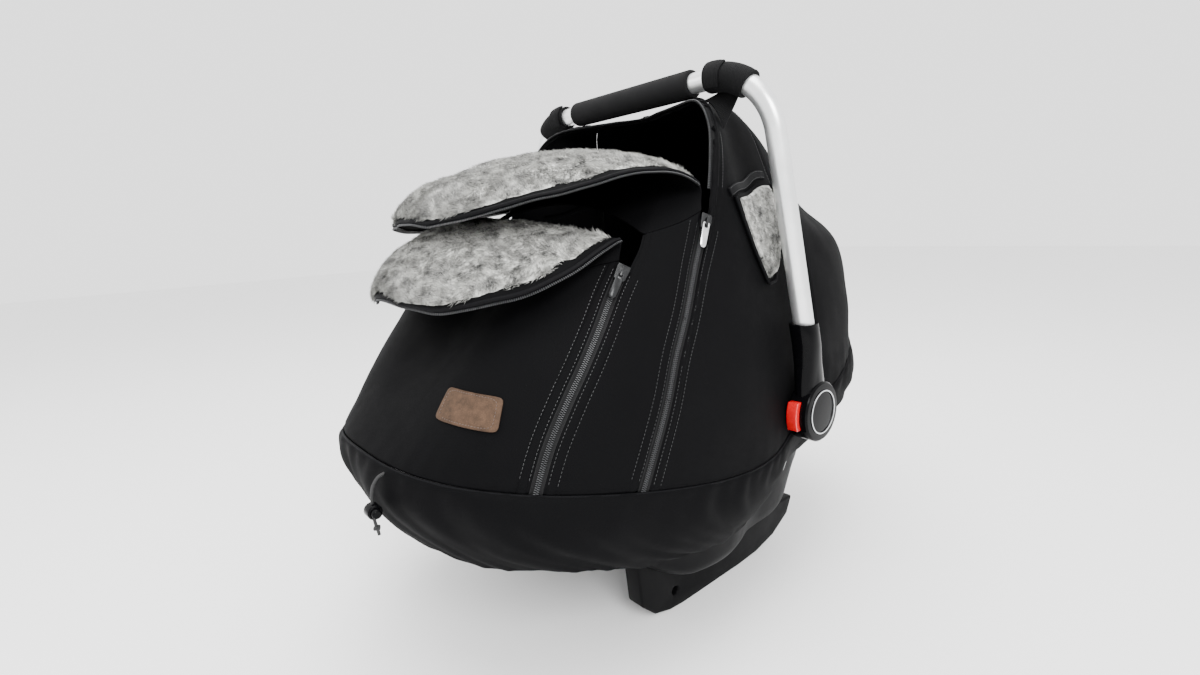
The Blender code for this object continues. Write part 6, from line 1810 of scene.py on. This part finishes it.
@dataclass
class CarryHandle:
    """Tube, grip, straps and hubs of the carry handle."""

    tab_along: tuple[float, float] = (0.1300, 0.1510)
    tab_angles: tuple[float, float] = (195.0, 300.0)
    end_along: tuple[float, float] = (0.140, 0.166)
    end_angle: float = 42.0
    end_turn: float = 98.0
    end_rises: tuple[float, float] = (56.5, 49.0)
    edge_fall: float = 0.0026
    edge_round: float = 0.0032
    tab_bend: tuple[float, float] = (275.0, 25.0)
    stitched: tuple[int, int] = (2, 18)
    ring_radius: float = 0.0256

    def tube(self) -> None:
        """The bent tube in one length from foot to foot."""
        near = HANDLE.path(40)
        leg = near[-2] + (near[-1] - near[-2]) * np.linspace(0.1, 1, 10)[:, None]
        near = np.concatenate([near[:-1], leg])
        path = np.concatenate([near[::-1], near[1:] * np.array([-1.0, 1.0, 1.0])])
        rear = np.tile(HANDLE.rear, (len(path), 1))
        body = swept(path, rear, oval(HANDLE.tube_radius, HANDLE.tube_radius, 40))
        dress(settle(body, "tube_body"), ANODISED, "handle", ["handle_tube"])

    def grip(self) -> None:
        """The foam sleeve with rounded ends."""
        half = HANDLE.grip_half
        ends = np.array([0.0, 0.0006, 0.0015, 0.0030, 0.0050, 0.0080])
        middle = np.linspace(-half + 0.014, half - 0.014, 40)
        places = np.concatenate([ends - half, middle, (half - ends)[::-1]])
        edge = half - np.abs(places)
        inwards = 1 - np.clip(edge / self.edge_round, 0, 1)
        radius = HANDLE.grip_radius - self.edge_fall * (1 - np.sqrt(np.clip(1 - inwards**2, 0, 1)))
        path = np.stack([places, np.full(len(places), HANDLE.bar_y), np.full(len(places), HANDLE.bar_z)], -1)
        sections = np.stack([oval(size, size, 48) for size in radius])
        body = swept(path, np.tile(HANDLE.rear, (len(path), 1)), sections)
        dress(settle(body, "foam_grip"), FOAM_SLEEVE, "handle", ["handle_grip"])

    def webbing(
        self, outer: np.ndarray, inner: np.ndarray, side: Side, name: str, body: str, node: str
    ) -> bpy.types.Object:
        """A piece of webbing between two grids of points drawn for the near side."""
        return dress(settle(closed_between(side.of(outer), side.of(inner)), name), WEBBING, body, [node])

    def sleeve(self, side: Side) -> None:
        """The strap round a corner of the tube."""
        along = np.linspace(*HANDLE.strap_along, 31)
        angles = np.linspace(0, FULL_TURN, 61)
        edge = np.minimum(along - along[0], along[-1] - along)
        soft = 0.0007 * (1 - ease(edge / 0.0022))
        radius = HANDLE.tube_radius + HANDLE.strap_gap + HANDLE.strap_thickness - soft[:, None]
        radius = radius - 0.00035 * bell(edge - 0.0040, 0.0009)[:, None]
        twist = np.sin(np.radians(angles) * 3 + 9 * along[:, None] / along[-1])
        radius = radius + 0.0004 * twist * ease(edge / 0.004)[:, None]
        outer = HANDLE.round(along, angles, radius)
        inner = HANDLE.round(along, angles, np.full(radius.shape, HANDLE.tube_radius + 0.0002))
        letter = side.letter
        self.webbing(outer, inner, side, f"strap_sleeve_{letter}", "handle", f"handle_strap_{letter}")

    def tab(self, side: Side, base: float) -> None:
        """The strap's closing tab, its tip a little off the strap."""
        along = np.linspace(*self.tab_along, 23)
        angles = np.linspace(*self.tab_angles, 41)
        start, spread = self.tab_bend
        edge = np.minimum(along - along[0], along[-1] - along)[:, None]
        bend = ease((angles - start) / spread)[None]
        lift = 0.0022 - 0.0008 * (1 - ease(edge / 0.0018)) + 0.0006 * bend
        lift = lift - 0.0004 * bell(edge - 0.0032, 0.0008)
        outer = HANDLE.round(along, angles, base + lift)
        inner = HANDLE.round(along, angles, np.broadcast_to(base + 0.0003 * bend, lift.shape))
        node = f"strap_tab_{side.letter}"
        self.webbing(outer, inner, side, f"closing_tab_{side.letter}", node, node)

    def tail(self, side: Side, base: float) -> None:
        """The strap's end, which lies down to the hood, with its stitches."""
        count, letter = 21, side.letter
        along = np.linspace(*self.end_along, count)
        top = HANDLE.round(along, np.array([self.end_angle]), np.full((count, 1), base + 0.0010))[:, 0]
        places = np.stack([np.full(count, self.end_turn), np.linspace(*self.end_rises, count)], -1)
        foot = HOOD.off(places, np.full(count, 0.0016))
        share = np.linspace(0, 1, 31)[None, :, None]
        sheet = top[:, None] + (foot - top)[:, None] * share
        normals = grid_normals(sheet)
        bow = 0.0006 * np.sin(math.pi * share)
        rim = np.minimum(np.arange(count), np.arange(count)[::-1])[:, None, None]
        half = 0.0011 - 0.0004 * (rim == 0)
        outer, inner = sheet + normals * (half + bow), sheet - normals * (half - bow)
        self.webbing(outer, inner, side, f"strap_tail_{letter}", "handle", f"strap_end_{letter}")
        for number in self.stitched:
            path = side.of(outer[number] + normals[number] * 0.0001)
            line = StitchLine(path, side.of(normals[number]), pitch=0.0030, length=0.0022)
            line.sew(f"strap_stitching_{number}_{letter}", THREAD, "handle")

    def straps(self) -> None:
        """Straps round the corners, their closing tabs and their ends on the hood."""
        base = HANDLE.tube_radius + HANDLE.strap_gap + HANDLE.strap_thickness + 0.0003
        for side in Side:
            self.sleeve(side)
            self.tab(side, base)
            self.tail(side, base)

    def hubs(self) -> None:
        """Hubs with their rings and release buttons."""
        count = 128
        for side in Side:
            letter = side.letter
            refined(f"handle_hub_{letter}", GLOSS_ABS, "handle", 0.0012, 3)
            refined(f"release_button_{letter}", RED_ABS, f"release_button_{letter}", 0.0011, 3)
            refined(f"pivot_pin_{letter}", GLOSS_ABS, "root", 0.0006, 2)
            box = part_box(f"hub_ring_{letter}")
            x, y, z = (np.array(box[0]) + np.array(box[1])) / 2
            angles = np.linspace(0, 2 * math.pi, count + 1)[:-1]
            ys, zs = y + self.ring_radius * np.cos(angles), z + self.ring_radius * np.sin(angles)
            ring = np.stack([np.full(count, x), ys, zs], -1) - np.array([0.0, BASE_SHIFT, 0.0])
            outs = np.tile([float(side.value), 0.0, 0.0], (count, 1))
            piece = swept(ring, outs, oval(0.0008, 0.0006, 12, 3.0), closed=True)
            dress(settle(piece, f"hub_trim_{letter}"), CHROME_RING, "handle", [f"hub_ring_{letter}"])

    def build(self) -> None:
        """Makes the handle."""
        self.tube()
        self.grip()
        self.straps()
        self.hubs()


@dataclass
class Carrier:
    """The moulded seat under the cover, its liner, its runners and its bare plate."""

    wall: float = 0.0060
    inset: float = 0.0104
    flare: float = 0.70
    flare_depth: float = 0.090
    bottom_z: float = 0.055
    nose_lift: float = 0.065
    rise: float = 0.060
    foot_inset: float = 0.010
    rim_drop: float = 0.004
    nose_turns: tuple[float, float] = (25.0, 50.0)
    rise_turns: tuple[float, float] = (50.0, 40.0)
    fall_turns: tuple[float, float] = (110.0, 60.0)
    hollow_turns: tuple[float, float] = (40.0, 55.0)
    head_turns: tuple[float, float] = (100.0, 70.0)
    columns: int = 180
    pin_hole: float = 0.0083
    bead: float = 0.0012
    bead_level: float = 0.99
    pad_gap: float = 0.0025
    pad_thickness: float = 0.0120

    @property
    def turns(self) -> np.ndarray:
        """Turns all the way round, the last one the first again."""
        return np.arange(self.columns + 1) * FULL_TURN / self.columns - HALF_TURN

    @staticmethod
    def past(turn: np.ndarray, start_and_spread: tuple[float, float]) -> np.ndarray:
        """A share that passes from 0 to 1 behind a turn, alike on both sides."""
        start, spread = start_and_spread
        return ease((np.abs(turn) - start) / spread)

    def bottom(self, turn: np.ndarray) -> np.ndarray:
        """Height of the bottom, which rises towards the foot end."""
        return self.bottom_z + self.nose_lift * (1 - self.past(turn, self.nose_turns))

    def rim(self, turn: np.ndarray) -> np.ndarray:
        """Height of the shell's rim."""
        rise = self.past(turn, self.rise_turns) * (1 - 0.5 * self.past(turn, self.fall_turns))
        return HOOD.seam(turn) - self.rim_drop + self.rise * rise

    def points(
        self, turn: np.ndarray, level: np.ndarray, foot: np.ndarray, depth: float, floor: float
    ) -> np.ndarray:
        """Points of the wall at levels from its bottom to its rim.

        Args:
            turn: round the seat.
            level: 0 at the bottom and 1 at the rim.
            foot: how far the wall is drawn in at its foot, from 0 to 1.
            depth: in from the outer face.
            floor: height above the bottom that no point lies below.

        Returns:
            The points.
        """
        bottom = self.bottom(turn)
        height = bottom + (self.rim(turn) - bottom) * level
        below = np.maximum(HOOD.seam(turn) - height, 0)
        curve = self.past(turn, self.hollow_turns) * (1 - self.past(turn, self.head_turns))
        flare = self.flare * below / (1 + curve * below / self.flare_depth)
        reach = HOOD.reach(turn) * HOOD.tucked(turn, np.ones_like(turn)) - self.inset - flare
        reach = reach - self.foot_inset * foot - depth
        angle = np.radians(turn)
        height = np.maximum(height, bottom + floor)
        return np.stack([reach * np.sin(angle), HOOD.rim_centre_y - reach * np.cos(angle), height], -1)

    def drawn_in(self, ring: np.ndarray) -> list[np.ndarray]:
        """Rings from the middle line out to just inside the given one, level from side to side."""
        return [ring * np.array([share, 1.0, 1.0]) for share in (0.0, 0.3, 0.6, 0.85)]

    def ring(self, level: float, foot: float, depth: float, floor: float) -> np.ndarray:
        """The wall's points all the way round at one level."""
        turns = self.turns
        return self.points(turns, np.full(len(turns), level), np.full(len(turns), foot), depth, floor)

    @staticmethod
    def body(rings: Sequence[np.ndarray]) -> bpy.types.Object:
        """A closed body through rings from the middle of its bottom up and back down inside."""
        grid = np.array(rings).transpose(1, 0, 2)
        grid[-1] = grid[0]
        piece = laid_grid(grid, closed=True)
        fill_open_loops(piece)
        tidy_normals(piece)
        return piece

    def shell(self) -> None:
        """The bucket with a rounded foot and a beaded rim."""
        levels = ((0.0, 1.0), (0.006, 0.70), (0.014, 0.48), (0.025, 0.35), (0.04, 0.20), (0.06, 0.07))
        levels += ((0.08, 0.0),)
        levels += tuple((float(level), 0.0) for level in np.linspace(0.12, 0.97, 19))
        levels += ((0.985, 0.0), (0.996, 0.0), (1.0, 0.0))
        rings = self.drawn_in(self.ring(0.0, 1.0, 0.0, 0.0))
        for level, foot in levels:
            bead = self.bead * (level > self.bead_level)
            ribs = 0.0009 * bell(level - 0.30, 0.012) - 0.0009 * bell(level - 0.36, 0.010)
            rings.append(self.ring(level, foot, bead - ribs, 0.0))
        for level, foot in reversed(levels[6:]):
            rings.append(self.ring(level, foot, self.wall - self.bead * (level > self.bead_level), self.wall))
        inside = self.ring(0.0, 1.0, 2 * self.wall, self.wall)
        piece = self.body([*rings, inside, *reversed(self.drawn_in(inside))])
        for side in Side:
            cut_away(piece, HoodCloth(hub_hole=self.pin_hole).hub_cutter(side))
        dress(settle(piece, "seat_bucket_shell"), GRAINED_SHELL, "root", ["carrier_shell"])

    def pad(self) -> None:
        """The quilted liner in the bucket."""
        depth = floor = self.wall + self.pad_gap
        thickness = self.pad_thickness
        levels = [(0.0, 1.0), (0.04, 0.35), (0.08, 0.0)]
        levels += [(float(level), 0.0) for level in np.linspace(0.12, 0.55, 14)]
        rings = self.drawn_in(self.ring(0.0, 1.0, depth, floor))
        rings += [self.ring(level, foot, depth, floor) for level, foot in levels]
        channel = 0.0034 * (np.abs(np.sin(np.radians(self.turns) * 9)) ** 0.35)
        quilted = np.minimum(thickness - 0.0030 + channel, thickness + 0.0012)
        centre = np.array([0.0, HOOD.rim_centre_y, 0.0])
        for level, foot in reversed(levels[2:]):
            share = (level - 0.08) / 0.47
            puff = quilted * (1 - 0.75 * ease((share - 0.90) / 0.10)) - 0.0030 * bell(share - 0.45, 0.03)
            ring = self.ring(level, foot, 0.0, floor + thickness)
            inward = unit((centre - ring) * np.array([1.0, 1.0, 0.0]))
            rings.append(ring + inward * (depth + puff)[:, None])
        inside = self.ring(0.0, 1.0, 2 * (depth + thickness), floor + thickness)
        piece = self.body([*rings, inside, *reversed(self.drawn_in(inside))])
        made = dress(settle(piece, "liner_pad", 60.0), LINER_KNIT, "root", ["seat_pad"])

    def patch(self) -> None:
        """The bare stitched patch."""
        turns, rises = (15.5, 28.0), (8.0, 13.0)
        lift, thickness, edge_power, seam_power, seam_share = 0.0003, 0.0020, 9.0, 6, 0.86
        middle = np.array([np.mean(turns), np.mean(rises)])
        half = np.array([np.ptp(turns), np.ptp(rises)]) / 2
        u, v = np.meshgrid(np.linspace(-1, 1, 41), np.linspace(-1, 1, 31), indexing="ij")
        pull = (np.abs(u) ** edge_power + np.abs(v) ** edge_power) ** (1 / edge_power)
        size = np.maximum(np.abs(u), np.abs(v))
        squash = size / np.maximum(pull, 1e-9)
        places = middle + np.stack([u * squash * half[0], v * squash * half[1]], -1)
        height = thickness - 0.0009 * ease((size - 0.93) / 0.07) - 0.0004 * bell(size - seam_share, 0.02)
        height = height + 0.0001 * soft_noise(np.stack([u, v, 0 * u], -1) * 0.02, 0.006, 2.0)
        outer = HOOD.off(places, lift + height)
        inner = HOOD.off(places, np.full(u.shape, lift))
        dress(settle(closed_between(outer, inner), "stitched_patch"), FAUX_LEATHER, "root", ["patch"])
        forth = np.linspace(0, 1, 81) * 2 - 1
        whole = np.ones(81)
        sides = ((forth, -whole), (whole, forth), (-forth, whole), (-whole, -forth))
        ring = np.concatenate([np.stack(side, -1) for side in sides]) * seam_share
        corner = (np.abs(ring) ** seam_power).sum(-1, keepdims=True) ** (1 / seam_power)
        line = middle + ring * seam_share / corner * half
        seam = StitchLine(HOOD.off(line, np.full(len(line), 0.0022)), HOOD.out(line), 0.0030, 0.0022, 0.0006)
        seam.sew("patch_stitching", PATCH_THREAD)

    def runner(self, side: Side) -> None:
        """A rocker runner, its nose drawn up into the rising bottom."""
        piece = refined(f"runner_{side.letter}", GRAINED_SHELL, "root", 0.0028, 3)
        turns = np.linspace(25, 90, 66)
        ridge = self.points(turns, np.zeros(66), np.ones(66), 0.0, 0.0)
        calm, spread, follow = 0.6 * self.bottom_z, 0.35 * self.bottom_z, 0.55
        for vertex in piece.data.vertices:
            height = float(np.interp(vertex.co.y - BASE_SHIFT, ridge[:, 1], ridge[:, 2]))
            drawn = ease((vertex.co.z - calm) / spread)
            vertex.co.z += float(drawn) * follow * (height - self.bottom_z)

    def build(self) -> None:
        """Makes the carrier."""
        self.shell()
        self.pad()
        self.patch()
        for side in Side:
            self.runner(side)
        refined("label_plate", BARE_FILM, "root", 0.0004, 1)


def fill_open_loops(piece: bpy.types.Object) -> None:
    """Closes every open loop of edges with one face."""
    work = bmesh.new()
    work.from_mesh(piece.data)
    bmesh.ops.remove_doubles(work, verts=work.verts, dist=MERGE_DISTANCE)
    bmesh.ops.holes_fill(work, edges=[edge for edge in work.edges if edge.is_boundary], sides=0)
    work.to_mesh(piece.data)
    work.free()


def zip_sliders() -> None:
    """The sliders and pullers, their cast edges rounded."""
    for side in Side:
        letter = side.letter
        for label, finish in (("outer", BRIGHT_ZINC), ("inner", BLACK_ZINC)):
            refined(f"{label}_slider_{letter}", BLACK_ZINC, f"{label}_slider_{letter}", 0.0004, 2)
            refined(f"{label}_puller_{letter}", finish, f"{label}_puller_{letter}", 0.0002, 1)


@dataclass
class Drawcord:
    """The hem's drawcord end with its sprung lock and its knot."""

    radius: float = 0.0015
    route: tuple[tuple[float, float, float], ...] = (
        (0.0600, -0.3967, 0.2468),
        (0.0600, -0.4055, 0.2445),
        (0.0600, -0.4108, 0.2380),
        (0.0600, -0.4130, 0.2300),
        (0.0600, -0.4135, 0.2221),
        (0.0600, -0.4135, 0.2078),
        (0.0597, -0.4128, 0.2020),
        (0.0592, -0.4115, 0.1960),
        (0.0588, -0.4105, 0.1900),
    )

    def build(self) -> None:
        """Makes the cord, its knot and its lock."""
        points = through(self.route, np.linspace(0, 1, 33))
        curve = bpy.data.curves.new("hem_drawcord", "CURVE")
        curve.dimensions = "3D"
        curve.bevel_depth = self.radius
        curve.bevel_resolution = 4
        curve.use_fill_caps = True
        spline = curve.splines.new("POLY")
        spline.points.add(len(points) - 1)
        for knot, point in zip(spline.points, points):
            knot.co = (*row(point), 1.0)
        cord = bpy.data.objects.new("hem_drawcord", curve)
        bpy.context.scene.collection.objects.link(cord)
        curve.materials.append(BRAID.material())
        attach(cord, "root")
        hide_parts("drawcord", "drawcord_tail")
        lock = refined("cord_lock", GLOSS_ABS, "root", 0.0009, 3)
        button = refined("cord_lock_button", GLOSS_ABS, "cord_lock_button", 0.0007, 3)
        knot = self.knot(points[-6])

    def knot(self, place: np.ndarray) -> bpy.types.Object:
        """An overhand knot drawn tight."""
        t = np.linspace(0, 2 * math.pi, 97)[:-1]
        size = 0.00115
        across, forth = size * (np.sin(t) + 2 * np.sin(2 * t)), size * (np.cos(t) - 2 * np.cos(2 * t))
        path = np.stack([across, forth, -size * 1.3 * np.sin(3 * t)], -1) * np.array([0.62, 0.62, 0.9])
        outs = unit(path + np.array([0.0, 0.0, 1e-4]))
        thickness = self.radius * 0.95
        piece = swept(path + np.asarray(place), outs, oval(thickness, thickness, 10), closed=True)
        return dress(settle(piece, "cord_knot"), BRAID)


@dataclass(frozen=True)
class Lamp:
    """A square soft lamp aimed at the middle of the part."""

    name: str
    place: tuple[float, float, float]
    size: float
    power: float
    target: tuple[float, float, float] = (0.0, 0.0, 0.3)

    def hang(self) -> None:
        """Puts the lamp into the scene."""
        data = bpy.data.lights.new(self.name, "AREA")
        data.shape = "RECTANGLE"
        data.size = data.size_y = self.size
        data.energy = self.power
        lamp = bpy.data.objects.new(self.name, data)
        bpy.context.scene.collection.objects.link(lamp)
        aim = (Vector(self.target) - Vector(self.place)).to_track_quat("-Z", "Y").to_matrix().to_4x4()
        lamp.matrix_world = Matrix.Translation(self.place) @ aim


@dataclass
class Studio:
    """Camera, floor and light of a catalogue picture."""

    place: tuple[float, float, float] = (0.565, -0.569, 0.458)
    yaw: float = 49.4
    pitch: float = 11.1
    roll: float = -2.8
    focal_pixels: float = 583.0
    sensor_mm: float = 36.0
    floor_size: float = 14.0
    floor_drop: float = 0.0004
    room_strength: float = 2.1
    lamps: tuple[Lamp, ...] = (
        Lamp("top_lamp", (0.1, -0.3, 2.2), 1.6, 60.0),
        Lamp("near_lamp", (2.0, -1.0, 1.7), 1.0, 70.0),
        Lamp("foot_lamp", (-1.4, -2.2, 1.5), 1.2, 14.0),
    )

    def camera(self) -> None:
        """The camera that the photograph was solved for."""
        yaw, pitch, roll = (math.radians(angle) for angle in (self.yaw, self.pitch, self.roll))
        back = Vector((math.sin(yaw) * math.cos(pitch), -math.cos(yaw) * math.cos(pitch), math.sin(pitch)))
        right = Vector((math.cos(yaw), math.sin(yaw), 0.0))
        up = back.cross(right)
        turned_right = right * math.cos(roll) + up * math.sin(roll)
        turned_up = -right * math.sin(roll) + up * math.cos(roll)
        data = bpy.data.cameras.new("camera")
        data.sensor_width = self.sensor_mm
        data.lens = data.sensor_width * self.focal_pixels / PICTURE_WIDTH
        data.clip_start = 0.01
        camera = bpy.data.objects.new("camera", data)
        bpy.context.scene.collection.objects.link(camera)
        matrix = Matrix((turned_right, turned_up, back)).transposed().to_4x4()
        camera.matrix_world = Matrix.Translation(row(self.place)) @ matrix
        bpy.context.scene.camera = camera

    def floor(self) -> None:
        """A pale flat floor."""
        bpy.ops.mesh.primitive_plane_add(size=self.floor_size, location=(0.0, 0.0, -self.floor_drop))
        floor = bpy.context.object
        floor.name = "floor"
        paper = bpy.data.materials.new("pale_paper_floor")
        paper.use_nodes = True
        shader = paper.node_tree.nodes["Principled BSDF"]
        shader.inputs["Base Color"].default_value = srgb("#F4F4F4")
        shader.inputs["Roughness"].default_value = 0.75
        floor.data.materials.append(paper)

    def light(self) -> None:
        """A white room with soft lamps above, beside and at the foot end."""
        world = bpy.data.worlds.new("white_room")
        world.use_nodes = True
        background = world.node_tree.nodes["Background"]
        background.inputs["Color"].default_value = (1.0, 1.0, 1.0, 1.0)
        background.inputs["Strength"].default_value = self.room_strength
        bpy.context.scene.world = world
        for lamp in self.lamps:
            lamp.hang()


def main() -> None:
    """Builds the dressed model and its picture."""
    logging.basicConfig(level=logging.INFO, format="%(message)s")
    studio = Studio()
    studio.camera()
    Drawcord().build()
    HoodCloth().build()
    GatheredSkirt().build()
    ZipRun().build()
    DoorwayEdge().build()
    zip_sliders()
    upper, lower = flap_roots(81)
    PeeledFlap("upper", UPPER_TABLE, *UPPER_FOLD, far_droop=0.030).build(upper)
    PeeledFlap("lower", LOWER_TABLE, *LOWER_FOLD).build(lower)
    VentFlap().build()
    Carrier().build()
    CarryHandle().build()
    studio.floor()
    studio.light()


if __name__ == "__main__":
    main()
